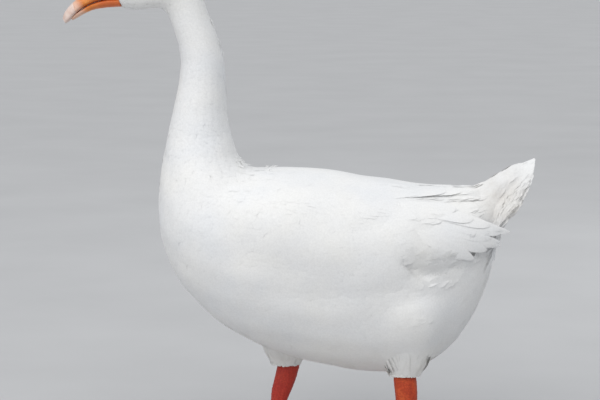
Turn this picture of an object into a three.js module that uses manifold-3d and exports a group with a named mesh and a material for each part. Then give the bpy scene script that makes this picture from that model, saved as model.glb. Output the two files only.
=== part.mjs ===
// A white domestic goose, life size, in mid stride: its left foot trails and its right foot leads.
// Millimetres, +X towards the bill, +Y to the bird's left, +Z up, floor at z = 0.
//
// Head, neck and trunk are one long body made of stations. Each station is a flat slice between a point on
// the dorsal line and a point on the ventral line. The slices fan round the bend of the neck. The nodes of
// the body are lofts between two stations. Wings, tail and thighs are shaped first, then cut by the trunk.
// The dimensions below measure x from a point near the middle of the trunk. The last step moves the group,
// so that the finished goose has its origin on the floor under the middle of its bounding box.

import * as THREE from 'three';
import { mergeVertices } from 'three/addons/utils/BufferGeometryUtils.js';
import Module from 'manifold-3d';

// ---- driving dimensions -------------------------------------------------------------------------

const GAP = 0.3;                    // clearance between two touching pieces

// Body stations from the face to the rump: dorsal point [x, z], ventral point [x, z], half width, height of
// the widest level as a share of the depth, and squareness of the slice (2 is an ellipse).
const BODY = [
  { at: 'face', dorsal: [305, 640], ventral: [291.6, 603.6], half: 15.5, level: 0.48, square: 2.2 },
  { at: 'forehead', dorsal: [289, 652], ventral: [281, 600.5], half: 20.5, level: 0.5, square: 2.2 },
  { at: 'eyes', dorsal: [268, 661], ventral: [267, 600], half: 24.5, level: 0.5, square: 2.2 },
  { at: 'crown', dorsal: [243, 663.5], ventral: [252, 602], half: 27, level: 0.46, square: 2.2 },
  { at: 'cheek', dorsal: [217, 658], ventral: [240, 602], half: 27.5, level: 0.48, square: 2.1 },
  { at: 'occiput', dorsal: [196, 643], ventral: [232.5, 596.5], half: 26, level: 0.5, square: 2 },
  { at: 'nape', dorsal: [184.5, 619], ventral: [227.5, 587], half: 25, level: 0.5, square: 2 },
  { at: 'throat', dorsal: [176, 593], ventral: [222.5, 572.5], half: 25.5, level: 0.5, square: 2 },
  { at: 'neck_high', dorsal: [165, 566], ventral: [216.5, 553], half: 27, level: 0.5, square: 2 },
  { at: 'neck_mid', dorsal: [156, 534], ventral: [213.5, 529], half: 29.5, level: 0.5, square: 2 },
  { at: 'neck_low', dorsal: [153, 500], ventral: [217, 499], half: 33, level: 0.5, square: 2 },
  { at: 'neck_base', dorsal: [152, 464], ventral: [225, 464], half: 38.5, level: 0.5, square: 2 },
  { at: 'mantle', dorsal: [147, 435], ventral: [232.5, 430], half: 46, level: 0.5, square: 2 },
  { at: 'crop', dorsal: [138, 407], ventral: [240, 390], half: 59, level: 0.5, square: 2 },
  { at: 'breast_high', dorsal: [126, 392], ventral: [245, 340], half: 76, level: 0.52, square: 2.05 },
  { at: 'breast', dorsal: [113, 387.3], ventral: [239, 283], half: 91, level: 0.54, square: 2.1 },
  { at: 'breast_low', dorsal: [94, 387.6], ventral: [214, 230], half: 101, level: 0.54, square: 2.15 },
  { at: 'keel', dorsal: [67, 388.5], ventral: [170, 184], half: 108, level: 0.54, square: 2.2 },
  { at: 'shoulder', dorsal: [38, 387.5], ventral: [115, 150], half: 111, level: 0.54, square: 2.2 },
  { at: 'belly_front', dorsal: [1, 384], ventral: [39, 124], half: 112, level: 0.53, square: 2.2 },
  { at: 'belly', dorsal: [-35, 377.5], ventral: [-35, 111], half: 110, level: 0.52, square: 2.2 },
  { at: 'flank', dorsal: [-70, 373], ventral: [-94, 112.5], half: 103, level: 0.52, square: 2.2 },
  { at: 'vent_front', dorsal: [-105, 367], ventral: [-136, 131.5], half: 90, level: 0.54, square: 2.15 },
  { at: 'vent', dorsal: [-141, 364], ventral: [-168.5, 167.5], half: 72, level: 0.56, square: 2.1 },
  { at: 'rump', dorsal: [-172, 363], ventral: [-193.5, 213], half: 52, level: 0.58, square: 2.05 },
  { at: 'tail_root', dorsal: [-194, 356], ventral: [-208, 259], half: 32, level: 0.6, square: 2 },
  { at: 'rump_end', dorsal: [-204, 336], ventral: [-210, 297], half: 14, level: 0.5, square: 2 },
];
const BODY_SIDES = 22;              // facets round the body

// The nodes of the body, by their first and last station, and how many rings each station is worth.
const BODY_NODES = [
  { name: 'head', from: 0, to: 6, perStation: 2 },
  { name: 'neck_upper', from: 6, to: 9, perStation: 1 },
  { name: 'neck_lower', from: 9, to: 13, perStation: 1 },
  { name: 'trunk', from: 13, to: 26, perStation: 2 },
];

const EYE = { x: 264, z: 640, station: 2, radius: 8.2, bulge: 2, sides: 10 };

// Upper bill from the face to the tip: culmen point, point on the cutting edge, half width.
const UPPER_BILL = [
  { dorsal: [305, 640], ventral: [295.6, 615], half: 14.6 },
  { dorsal: [324, 631], ventral: [312, 614.2], half: 14.4 },
  { dorsal: [340, 622.9], ventral: [330, 609.2], half: 13.4 },
  { dorsal: [352, 614.2], ventral: [345, 601.2], half: 12.4 },
  { dorsal: [361, 605.8], ventral: [355, 592.8], half: 11.2 },
  { dorsal: [368, 597], ventral: [362, 585.2], half: 9 },
  { dorsal: [371, 588.6], ventral: [367, 582], half: 5 },
];
const LOWER_BILL = [
  { dorsal: [295.6, 614.7], ventral: [291.8, 604.2], half: 12.6 },
  { dorsal: [314, 613.6], ventral: [312, 603], half: 12.2 },
  { dorsal: [331, 608.6], ventral: [329, 600.2], half: 11.2 },
  { dorsal: [344, 601.4], ventral: [341, 595.2], half: 10 },
  { dorsal: [355, 593.8], ventral: [351.5, 589.4], half: 8.2 },
  { dorsal: [359.5, 589.8], ventral: [357.5, 586.2], half: 5.2 },
];
const BILL = {
  sides: 12,
  upperLevel: 0.28,                 // the upper bill is widest just above its cutting edge
  lowerLevel: 0.7,
  square: 2.1,
  nail: { length: 23, along: [0.83, 0, -0.56] },   // the pale horn at the end, and which way it points
};
const NOSTRIL = { x: 326, z: 622.5, length: 6.5, height: 2.2, depth: 2, sides: 8 };

// Folded wing, laid over the trunk. Its angles are measured from the ridge of the back.
const WING = {
  shoulder: 14.8,                   // body station where the wing begins
  end: 24.6,                        // body station where the shell ends
  top: [52, 36, 30, 30, 33, 40, 58],
  bottom: [80, 92, 94, 90, 85, 98, 114],
  thickness: 10,
  frontEdge: 0.9,
  lowerEdge: 8,                     // the ends of the secondaries stand off the flank
  rearEdge: 4,
  rooted: 3,                        // how far its inner face starts inside the trunk, before it is cut
  along: 12,
  across: 6,
};

// Flight feathers that run out behind the wing: centre [x, y, z], half height, half thickness.
const WING_TIP = [
  { centre: [-136, 72, 317], high: 24, thick: 5 },
  { centre: [-170, 63, 312], high: 17, thick: 6.5 },
  { centre: [-194, 54.5, 306.5], high: 10.5, thick: 5 },
  { centre: [-212, 51, 301.5], high: 6.6, thick: 3 },
  { centre: [-227, 49, 299], high: 2.8, thick: 1.4 },
];
const WING_TIP_SHAPE = { sides: 8, perStation: 1, lean: 0.45 };

// Tail fan and the coverts under it, from root to tip: ridge, lowest edge of the outer feathers, half
// width, and how deep the coverts are under the middle.
const TAIL = [
  { ridge: [-158, 360.5], edge: [-196, 262], half: 38, deep: 100 },
  { ridge: [-178, 363], edge: [-212, 282], half: 40, deep: 82 },
  { ridge: [-204, 374], edge: [-224, 302], half: 42, deep: 66 },
  { ridge: [-226, 386], edge: [-235, 325], half: 42, deep: 52 },
  { ridge: [-243, 393.5], edge: [-244, 348], half: 39, deep: 32 },
  { ridge: [-254, 397.8], edge: [-250, 369], half: 32, deep: 13 },
  { ridge: [-261, 400.5], edge: [-265.5, 385], half: 20, deep: 3 },
];
const TAIL_SHAPE = { rows: 8, across: 8, droop: 1.6, edgeShare: 0.12, rake: 0.2 };

// Legs. "near" is the left leg, which trails, and "far" is the right one, which leads.
const LEG = {
  spread: 52,                       // hock to the midline
  narrowing: 4,                     // how much nearer the midline the ankle is
  hockHeight: 94,
  ankleCut: 17,                     // height where the foot begins
  near: { hip: -86, hock: -87, ankle: -95, cuff: 118, toeIn: 8 },
  far: { hip: 56, hock: 74, ankle: 98, cuff: 113, toeIn: 4 },
};

// Slices of the feathered thigh, from its root inside the flank to just below the cuff: share of the way
// from the hip to the hock, distance from the midline, height, half size fore and aft, half size sideways.
const THIGH = [
  { down: 0, out: 70, z: 226, long: 44, wide: 28 },
  { down: 0.2, out: 71, z: 197, long: 51, wide: 37 },
  { down: 0.4, out: 66, z: 171, long: 47, wide: 31 },
  { down: 0.65, out: 58, z: 147, long: 38, wide: 27 },
  { down: 0.9, out: 53, z: 130, long: 28, wide: 21 },
  { down: 1, out: 52, z: 112, long: 18, wide: 14 },
];

// Slices of the bare leg, from above the cuff to inside the foot: height, half size fore and aft, half size
// sideways, and how far it bows forward.
const SHANK = [
  { z: 128, long: 14.4, wide: 11, bow: 0 },
  { z: 104, long: 15.4, wide: 11.5, bow: -1 },
  { z: 88, long: 15, wide: 11, bow: -1 },
  { z: 72, long: 13.8, wide: 9.6, bow: 0 },
  { z: 54, long: 10.6, wide: 7.6, bow: 0 },
  { z: 36, long: 9.2, wide: 7, bow: 0 },
  { z: 20, long: 10, wide: 8.2, bow: 1 },
  { z: 7, long: 11.5, wide: 10, bow: 3 },
];

const FOOT = {
  sole: 0.8,                        // how much of each toe pad the flat sole cuts off
  arch: 1.5,                        // how much higher a toe starts than it ends
  pads: 3,                          // joint pads along a toe
  padSwell: 0.09,
  taper: 0.32,
  web: { thickness: 1.8, height: 3.4, first: 0.08, last: 0.93, hollow: 0.2, rows: 3 },
  heel: { height: 6, radii: [11.5, 11, 9.5], sides: 8 },
  toes: [
    { name: 'inner', turn: -27, length: 66, pad: 5, rings: 6, claw: 1 },
    { name: 'middle', turn: 0, length: 84, pad: 5.6, rings: 6, claw: 1 },
    { name: 'outer', turn: 25, length: 76, pad: 5, rings: 6, claw: 1 },
    { name: 'hind', turn: -155, length: 21, pad: 3.6, rings: 3, claw: 0.62 },
  ],
  toeSides: 6,
};
const CLAW = { length: 11, thick: 3.2, tip: 0.35, clear: 0.25, flat: 0.8, sides: 6 };

const look = (colour, roughness) => new THREE.MeshStandardMaterial({ color: colour, roughness, metalness: 0 });
const LOOKS = {
  plumage: look(0xe9e9ea, 0.8),
  bill: look(0xe07b2c, 0.45),
  nail: look(0xdcc6bd, 0.4),
  skin: look(0xcc4d24, 0.55),
  claw: look(0xbf9a82, 0.4),
  eye: look(0x3f6684, 0.08),
};

// ---- small tools --------------------------------------------------------------------------------

const wasm = await Module();
wasm.setup();

const radians = THREE.MathUtils.degToRad;
const lerp = THREE.MathUtils.lerp;
const smooth = THREE.MathUtils.smoothstep;
const range = (count) => Array.from({ length: count }, (_, i) => i);

// A smooth function through equally numbered values, which are numbers or [x, z] pairs.
function through(values) {
  const asPoint = (v, i) => (Array.isArray(v) ? new THREE.Vector3(v[0], 0, v[1]) : new THREE.Vector3(v, 0, i));
  const curve = new THREE.CatmullRomCurve3(values.map(asPoint), false, 'centripetal');
  const last = values.length - 1;
  return (t) => {
    const p = curve.getPoint(THREE.MathUtils.clamp(t / last, 0, 1));
    return Array.isArray(values[0]) ? p : p.x;
  };
}

function powered(value, exponent) {
  return Math.sign(value) * Math.abs(value) ** exponent;
}

// A closed geometry from rings of points that run from one end to the other. A cap closes each end.
function tubeGeometry(rings) {
  const sides = rings[0].length;
  const positions = rings.flat();
  const middle = (ring) => ring.reduce((sum, p) => sum.add(p), new THREE.Vector3()).divideScalar(sides);
  const first = positions.push(middle(rings[0])) - 1;
  const last = positions.push(middle(rings[rings.length - 1])) - 1;
  const index = [];
  for (const i of range(rings.length - 1)) {
    for (const j of range(sides)) {
      const a = i * sides + j;
      const b = i * sides + ((j + 1) % sides);
      index.push(a, b, b + sides, a, b + sides, a + sides);
    }
  }
  const end = (rings.length - 1) * sides;
  for (const j of range(sides)) {
    const next = (j + 1) % sides;
    index.push(first, next, j);
    index.push(last, end + j, end + next);
  }
  return new THREE.BufferGeometry().setFromPoints(positions).setIndex(index);
}

// A closed geometry between two grids of points with the same rows and columns, such as a wing's two faces.
function shellGeometry(outer, inner) {
  return tubeGeometry(outer.map((row, i) => [...row, ...inner[i].slice().reverse()]));
}

// The solid of a closed geometry, facing out whichever way its rings ran.
function solid(geometry) {
  const bare = geometry.clone();
  bare.deleteAttribute('normal');
  bare.deleteAttribute('uv');
  const merged = mergeVertices(bare, 1e-4);
  const triVerts = new Uint32Array(merged.index.array);
  const vertProperties = merged.attributes.position.array;
  const made = new wasm.Manifold(new wasm.Mesh({ numProp: 3, vertProperties, triVerts }));
  if (made.volume() > 0) return made;
  for (let i = 0; i < triVerts.length; i += 3) {
    [triVerts[i + 1], triVerts[i + 2]] = [triVerts[i + 2], triVerts[i + 1]];
  }
  return new wasm.Manifold(new wasm.Mesh({ numProp: 3, vertProperties, triVerts }));
}

// The largest body of a solid, without the crumbs that a cut can leave.
function largest(made) {
  return made.decompose().sort((a, b) => b.volume() - a.volume())[0];
}

function union(parts) {
  return parts.reduce((made, part) => made.add(part));
}

function above(made, height) {
  return made.trimByPlane([0, 0, 1], height);
}

function below(made, height) {
  return made.trimByPlane([0, 0, -1], -height);
}

function ball(centre, radii, sides) {
  const sphere = new THREE.SphereGeometry(1, sides, Math.round(sides * 0.7));
  sphere.rotateX(Math.PI / 2).scale(...radii).translate(...centre);
  return solid(sphere);
}

// ---- head, neck and trunk -----------------------------------------------------------------------

// A function of station and angle that gives a point on slices between a dorsal and a ventral line.
function slices(stations, grow = 0) {
  const dorsal = through(stations.map((s) => s.dorsal));
  const ventral = through(stations.map((s) => s.ventral));
  const half = through(stations.map((s) => s.half));
  const level = through(stations.map((s) => s.level));
  const square = through(stations.map((s) => s.square));
  return (t, angle) => {
    const low = ventral(t);
    const up = dorsal(t).sub(low);
    const depth = up.length();
    up.normalize();
    const widest = level(t) * depth;
    const exponent = 2 / square(t);
    const across = powered(Math.sin(angle), exponent) * (half(t) + grow);
    const rise = powered(Math.cos(angle), exponent);
    const reach = rise > 0 ? depth - widest + grow : widest + grow;
    return low.addScaledVector(up, widest + rise * reach).setY(across);
  };
}

// A loft through the slices at the given stations, which need not be whole numbers.
function loft(stations, sides, at, grow = 0) {
  const point = slices(stations, grow);
  const rings = at.map((t) => range(sides).map((j) => point(t, (2 * Math.PI * j) / sides)));
  return solid(tubeGeometry(rings));
}

function steps(from, to, perStation) {
  const count = (to - from) * perStation;
  return range(count + 1).map((i) => from + i / perStation);
}

// The share of a station that half the gap takes where the slices lie closest.
function gapShare(station) {
  const reach = (line) => {
    const [before, after] = [BODY[station - 1][line], BODY[station + 1][line]];
    return Math.hypot(after[0] - before[0], after[1] - before[1]) / 2;
  };
  return GAP / 2 / Math.min(reach('dorsal'), reach('ventral'));
}

function bodyNode({ from, to, perStation }) {
  const at = steps(from, to, perStation);
  if (from > 0) at[0] += gapShare(from);
  if (to < BODY.length - 1) at[at.length - 1] -= gapShare(to);
  return loft(BODY, BODY_SIDES, at);
}

// The trunk grown by the gap, and past its rear end too, to cut what lies on it.
function trunkCutter() {
  const { from, to, perStation } = BODY_NODES.find((node) => node.name === 'trunk');
  const made = loft(BODY, BODY_SIDES, steps(from, to, perStation), GAP);
  return made.add(made.translate([-GAP, 0, 0]));
}

function eyeCentre(side) {
  const { dorsal, ventral, level, square } = BODY[EYE.station];
  const height = (EYE.z - ventral[1]) / (dorsal[1] - ventral[1]);
  const angle = Math.acos(((height - level) / (1 - level)) ** (square / 2));
  const surface = slices(BODY)(EYE.station, angle).y;
  return [EYE.x, side * (surface + EYE.bulge - EYE.radius), EYE.z];
}

function bodyPieces() {
  const pieces = Object.fromEntries(BODY_NODES.map((node) => [node.name, bodyNode(node)]));
  for (const side of [1, -1]) {
    const socket = ball(eyeCentre(side), Array(3).fill(EYE.radius + GAP), EYE.sides);
    pieces.head = largest(pieces.head.subtract(socket));
  }
  return pieces;
}

// ---- bill ---------------------------------------------------------------------------------------

// Bill stations as slices. The first one moves off the face by the gap.
function billStations(stations, level) {
  const face = new THREE.Vector2(BODY[0].dorsal[0] - BODY[0].ventral[0], BODY[0].dorsal[1] - BODY[0].ventral[1]);
  const ahead = new THREE.Vector2(face.y, -face.x).setLength(GAP);
  const move = ([x, z]) => [x + ahead.x, z + ahead.y];
  return stations.map((s, i) => ({
    dorsal: i ? s.dorsal : move(s.dorsal),
    ventral: i ? s.ventral : move(s.ventral),
    half: s.half,
    level,
    square: BILL.square,
  }));
}

function billPieces() {
  const upperStations = billStations(UPPER_BILL, BILL.upperLevel);
  const lowerStations = billStations(LOWER_BILL, BILL.lowerLevel);
  const upperSteps = steps(0, UPPER_BILL.length - 1, 2);
  const whole = loft(upperStations, BILL.sides, upperSteps);
  const cutter = loft(upperStations, BILL.sides, upperSteps, GAP);
  const lower = loft(lowerStations, BILL.sides, steps(0, LOWER_BILL.length - 1, 1));

  const along = new THREE.Vector3(...BILL.nail.along).normalize();
  const [tipX, tipZ] = UPPER_BILL[UPPER_BILL.length - 1].dorsal;
  const offset = along.x * tipX + along.z * tipZ - BILL.nail.length;
  const nail = whole.trimByPlane(along.toArray(), offset + GAP / 2);
  let upper = whole.trimByPlane(along.clone().negate().toArray(), -offset + GAP / 2);
  for (const side of [1, -1]) {
    const centre = [NOSTRIL.x, side * (UPPER_BILL[1].half - NOSTRIL.depth / 2), NOSTRIL.z];
    upper = upper.subtract(ball(centre, [NOSTRIL.length, NOSTRIL.depth, NOSTRIL.height], NOSTRIL.sides));
  }
  return { bill_upper: largest(upper), bill_lower: largest(lower.subtract(cutter)), bill_nail: largest(nail) };
}

// ---- wings and tail -----------------------------------------------------------------------------

// The outward normal of the body at a station and angle, from two small steps along the surface.
function bodyNormal(point, t, angle) {
  const step = 0.02;
  const alongBody = point(t + step, angle).sub(point(t - step, angle));
  const round = point(t, angle + step).sub(point(t, angle - step));
  const normal = round.cross(alongBody).normalize();
  return normal.y < 0 ? normal.negate() : normal;
}

// The shell swells from thin front and upper edges to thicker feather ends behind and below. a runs from
// the shoulder to the rear and b from the upper edge to the lower one, both from 0 to 1.
function wingLift(a, b) {
  const swell = WING.thickness * smooth(a, 0, 0.3) * smooth(b, 0, 0.35);
  const lower = lerp(WING.frontEdge, WING.lowerEdge, smooth(a, 0.3, 0.55));
  const middle = lerp(swell, Math.min(swell, lower), smooth(b, 0.7, 1));
  const rear = lerp(middle, Math.min(middle, WING.rearEdge), smooth(a, 0.8, 1));
  return Math.max(WING.frontEdge, rear);
}

function wingShell() {
  const point = slices(BODY);
  const top = through(WING.top);
  const bottom = through(WING.bottom);
  const last = WING.top.length - 1;
  const grid = (lift) =>
    range(WING.along + 1).map((i) =>
      range(WING.across + 1).map((j) => {
        const [a, b] = [i / WING.along, j / WING.across];
        const t = lerp(WING.shoulder, WING.end, a);
        const angle = radians(lerp(top(a * last), bottom(a * last), b));
        return point(t, angle).addScaledVector(bodyNormal(point, t, angle), lift(a, b));
      }),
    );
  return solid(shellGeometry(grid(wingLift), grid(() => -WING.rooted)));
}

function wingTip() {
  const { sides, perStation, lean } = WING_TIP_SHAPE;
  const [x, y, z] = [0, 1, 2].map((axis) => through(WING_TIP.map((s) => s.centre[axis])));
  const high = through(WING_TIP.map((s) => s.high));
  const thick = through(WING_TIP.map((s) => s.thick));
  const ring = (t) =>
    range(sides).map((j) => {
      const angle = (2 * Math.PI * j) / sides;
      const rise = high(t) * Math.cos(angle);
      return new THREE.Vector3(x(t), y(t) + thick(t) * Math.sin(angle) - lean * rise, z(t) + rise);
    });
  return solid(tubeGeometry(steps(0, WING_TIP.length - 1, perStation).map(ring)));
}

// The tail is a fan bent over like a roof: the middle feathers ride highest and the outer ones droop. Soft
// coverts fill it from below.
function tail() {
  const { rows, across, droop, edgeShare, rake } = TAIL_SHAPE;
  const ridge = through(TAIL.map((s) => s.ridge));
  const edge = through(TAIL.map((s) => s.edge));
  const half = through(TAIL.map((s) => s.half));
  const deep = through(TAIL.map((s) => s.deep));
  const grid = (under) =>
    range(rows + 1).map((i) => {
      const t = (i / rows) * (TAIL.length - 1);
      return range(across + 1).map((j) => {
        const v = (2 * j) / across - 1;
        const point = ridge(t).lerp(edge(t), Math.abs(v) ** droop);
        const depth = under ? deep(t) * lerp(1, edgeShare, v * v) : 0;
        point.z -= depth;
        point.x -= rake * depth * smooth(t, 3, 6);
        return point.setY(v * half(t));
      });
    });
  return solid(shellGeometry(grid(false), grid(true)));
}

// ---- legs ---------------------------------------------------------------------------------------

// A tube through flat slices. Each has a centre [x, y, z], a half size fore and aft and one sideways.
function limb(slicesDown, sides) {
  const rings = slicesDown.map(({ centre, long, wide }) =>
    range(sides).map((j) => {
      const angle = (2 * Math.PI * j) / sides;
      return new THREE.Vector3(centre[0] + long * Math.cos(angle), centre[1] + wide * Math.sin(angle), centre[2]);
    }),
  );
  return solid(tubeGeometry(rings));
}

function thigh(side, leg) {
  const lift = leg.cuff - LEG.near.cuff;
  const cut = THIGH.map(({ down, out, z, long, wide }) => {
    const raised = z + lift * down;
    return { centre: [lerp(leg.hip, leg.hock, down), side * out, raised], long, wide };
  });
  return limb(cut, 14);
}

function shank(side, leg) {
  const cut = SHANK.map(({ z, long, wide, bow }) => {
    const down = (LEG.hockHeight - z) / LEG.hockHeight;
    const out = LEG.spread - LEG.narrowing * Math.max(down, 0);
    return { centre: [lerp(leg.hock, leg.ankle, down) + bow, side * out, z], long, wide };
  });
  return limb(cut, 10);
}

// A point beside a toe's line, in the left foot's own frame: the ankle is at the origin and the middle toe
// runs along +X. The share is of the toe's length.
function toePoint(kind, share, height = 0, sideways = 0) {
  const turn = radians(kind.turn);
  const reach = share * kind.length;
  const x = reach * Math.cos(turn) - sideways * Math.sin(turn);
  const y = reach * Math.sin(turn) + sideways * Math.cos(turn);
  return new THREE.Vector3(x, y, height);
}

// A toe has joint pads that swell, and it comes down to the floor at its end.
function toe(kind) {
  const ring = (i) => {
    const share = i / kind.rings;
    const swell = 1 + FOOT.padSwell * Math.cos(2 * Math.PI * FOOT.pads * share);
    const pad = kind.pad * (1 - FOOT.taper * share) * swell;
    const height = pad - FOOT.sole + (1 - share) * FOOT.arch;
    return range(FOOT.toeSides).map((j) => {
      const angle = (2 * Math.PI * (j + 0.5)) / FOOT.toeSides;
      return toePoint(kind, share, height + pad * Math.sin(angle), pad * Math.cos(angle));
    });
  };
  return solid(tubeGeometry(range(kind.rings + 1).map(ring)));
}

// The web between two toes: thin, with a front edge that curves in between the toe ends.
function web(first, second) {
  const { thickness, height, first: start, last, hollow, rows } = FOOT.web;
  const grid = (z) =>
    range(rows + 1).map((i) =>
      range(rows + 1).map((j) => {
        const [a, b] = [i / rows, j / rows];
        const reach = lerp(start, last, a) * (1 - hollow * Math.sin(Math.PI * b) * a);
        return toePoint(first, reach).lerp(toePoint(second, reach), b).setZ(z);
      }),
    );
  return solid(shellGeometry(grid(height), grid(height - thickness)));
}

function claw(kind) {
  const tipPad = kind.pad * (1 - FOOT.taper) * (1 + FOOT.padSwell);
  const ring = (share) => {
    const radius = CLAW.thick * kind.claw * (1 - share) ** 0.7 + CLAW.tip;
    const reach = 1 + (GAP + share * CLAW.length * kind.claw) / kind.length;
    const height = lerp(tipPad + 1, radius + CLAW.clear, share ** 0.8);
    return range(CLAW.sides).map((j) => {
      const angle = (2 * Math.PI * j) / CLAW.sides;
      return toePoint(kind, reach, height + radius * Math.sin(angle), CLAW.flat * radius * Math.cos(angle));
    });
  };
  return solid(tubeGeometry([0, 0.4, 0.8, 1].map(ring)));
}

// Puts a solid made in the left foot's own frame under the ankle, turned a little inwards.
function underAnkle(made, side, leg) {
  const handed = side > 0 ? made : mirrored(made);
  const out = LEG.spread - LEG.narrowing;
  return handed.rotate([0, 0, -side * leg.toeIn]).translate([leg.ankle, side * out, 0]);
}

function legPieces(name, side, leg, trunkGrown) {
  const [inner, middle, outer, hind] = FOOT.toes;
  const heel = ball([0, 0, FOOT.heel.height], FOOT.heel.radii, FOOT.heel.sides);
  const webs = [web(inner, middle), web(middle, outer)];
  const toes = [inner, middle, outer, hind].map(toe);
  const column = shank(side, leg);
  const ankle = below(column, LEG.ankleCut - GAP / 2);
  const foot = above(union([ankle, underAnkle(union([heel, ...webs, ...toes]), side, leg)]), 0);
  const bare = below(above(column, LEG.ankleCut + GAP / 2), leg.cuff - GAP / 2);
  const feathered = above(thigh(side, leg), leg.cuff + GAP / 2).subtract(trunkGrown);
  const claws = FOOT.toes.map((kind) => [`claw_${name}_${kind.name}`, underAnkle(claw(kind), side, leg)]);
  return {
    [`thigh_${name}`]: largest(feathered),
    [`shank_${name}`]: largest(bare),
    [`foot_${name}`]: largest(foot),
    ...Object.fromEntries(claws),
  };
}

// ---- assembly -----------------------------------------------------------------------------------

function mirrored(made) {
  return made.mirror([0, 1, 0]);
}

function goosePieces() {
  const trunkGrown = trunkCutter();
  const wing = wingShell().add(wingTip());
  return {
    ...bodyPieces(),
    ...billPieces(),
    eye_left: ball(eyeCentre(1), Array(3).fill(EYE.radius), EYE.sides),
    eye_right: ball(eyeCentre(-1), Array(3).fill(EYE.radius), EYE.sides),
    wing_left: largest(wing.subtract(trunkGrown)),
    wing_right: largest(mirrored(wing).subtract(trunkGrown)),
    tail: largest(tail().subtract(trunkGrown)),
    ...legPieces('left', 1, LEG.near, trunkGrown),
    ...legPieces('right', -1, LEG.far, trunkGrown),
  };
}

function lookFor(name) {
  if (name.startsWith('claw')) return LOOKS.claw;
  if (name.startsWith('eye')) return LOOKS.eye;
  if (name === 'bill_nail') return LOOKS.nail;
  if (name.startsWith('bill')) return LOOKS.bill;
  return name.startsWith('shank') || name.startsWith('foot') ? LOOKS.skin : LOOKS.plumage;
}

function meshOf(name, made) {
  const { vertProperties, triVerts, numProp, numVert } = made.getMesh();
  const positions = new Float32Array(numVert * 3);
  for (const i of range(numVert)) positions.set(vertProperties.subarray(i * numProp, i * numProp + 3), i * 3);
  const geometry = new THREE.BufferGeometry();
  geometry.setAttribute('position', new THREE.BufferAttribute(positions, 3));
  geometry.setIndex(new THREE.BufferAttribute(triVerts, 1));
  const mesh = new THREE.Mesh(geometry, lookFor(name));
  mesh.name = name;
  return mesh;
}

const goose = new THREE.Group();
for (const [name, made] of Object.entries(goosePieces())) goose.add(meshOf(name, made));

const bounds = new THREE.Box3().setFromObject(goose);
const centre = bounds.getCenter(new THREE.Vector3());
goose.position.set(-centre.x, -centre.y, -bounds.min.z);

export default goose;
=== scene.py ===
"""A white domestic goose in mid stride, life size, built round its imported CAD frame.

Metres, +X towards the bill, +Y to the bird's left, +Z up, floor at z = 0. Tables of sizes are in
millimetres. The skin and the coat lie on surfaces that are cast from the CAD nodes, so they go where the
frame says. Every feather is a thin closed vane that follows such a surface.
"""

import math

import bpy
import numpy as np
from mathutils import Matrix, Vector
from mathutils.bvhtree import BVHTree


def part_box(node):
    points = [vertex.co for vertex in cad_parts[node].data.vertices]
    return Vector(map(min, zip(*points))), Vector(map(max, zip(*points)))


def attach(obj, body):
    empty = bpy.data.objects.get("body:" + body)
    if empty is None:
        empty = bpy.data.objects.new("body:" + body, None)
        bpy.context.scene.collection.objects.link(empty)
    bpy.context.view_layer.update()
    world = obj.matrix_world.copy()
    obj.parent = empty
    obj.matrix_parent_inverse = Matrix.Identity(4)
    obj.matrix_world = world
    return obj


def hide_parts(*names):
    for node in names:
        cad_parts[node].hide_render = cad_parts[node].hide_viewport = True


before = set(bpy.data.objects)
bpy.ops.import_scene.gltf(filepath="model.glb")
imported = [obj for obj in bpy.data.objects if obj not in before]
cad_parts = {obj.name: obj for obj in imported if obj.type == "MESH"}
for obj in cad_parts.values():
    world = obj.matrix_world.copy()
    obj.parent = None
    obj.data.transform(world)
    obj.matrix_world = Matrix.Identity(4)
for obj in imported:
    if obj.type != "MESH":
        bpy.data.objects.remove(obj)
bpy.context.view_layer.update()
rng = np.random.default_rng(20)

MM = 0.001
SHIFT = -52.7                # STATIONS, TAIL and the bill's tables measure x from this place in the frame, mm
MATERIALS = {}               # by material slot


# ---- small tools ----

def unit(vectors):
    return vectors / np.maximum(np.linalg.norm(vectors, axis=-1, keepdims=True), 1e-12)


def smooth(value, low, high):
    share = np.clip((np.asarray(value, float) - low) / (high - low), 0, 1)
    return share * share * (3 - 2 * share)


def mix(a, b, share):
    return a + (b - a) * share


def through(values, at):
    """A smooth curve through equally numbered values or rows of values, read at any number."""
    values = np.asarray(values, float)
    last = len(values) - 1
    at = np.clip(np.asarray(at, float), 0, last)
    i = np.minimum(at.astype(int), last - 1)
    f = (at - i)[..., None] if values.ndim > 1 else at - i
    a, b = values[np.maximum(i - 1, 0)], values[i]
    c, d = values[i + 1], values[np.minimum(i + 2, last)]
    return 0.5 * (2 * b + (c - a) * f + (2 * a - 5 * b + 4 * c - d) * f**2 + (3 * b - a - 3 * c + d) * f**3)


def wave(points, period, seed):
    """A soft random relief, about -1 to 1, made of a few sine waves across the given points."""
    made = np.random.default_rng(seed)
    total = np.zeros(points.shape[:-1])
    for _ in range(7):
        direction = unit(made.normal(size=3))
        turn = 2 * math.pi / (period * made.uniform(0.7, 1.5))
        total += np.sin(points @ direction * turn + made.uniform(0, 2 * math.pi))
    return total / 3.5


def band(value, start, full, fading, gone):
    """1 in a stretch of values, falling softly to 0 on both sides of it."""
    return smooth(value, start, full) * (1 - smooth(value, fading, gone))


def ring_angles(count):
    return 2 * math.pi * np.arange(count) / count


def ring_grid(first, last, rows, columns):
    """Even values down the rows, and the angles of a ring along them, both as grids."""
    return np.meshgrid(np.linspace(first, last, rows), ring_angles(columns), indexing="ij")


def new_object(name, data, facing=None):
    made = bpy.data.objects.new(name, data)
    bpy.context.scene.collection.objects.link(made)
    if facing is not None:
        made.rotation_mode = "QUATERNION"
        made.rotation_quaternion = Vector(facing).to_track_quat("-Z", "Y")
    return made


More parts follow.
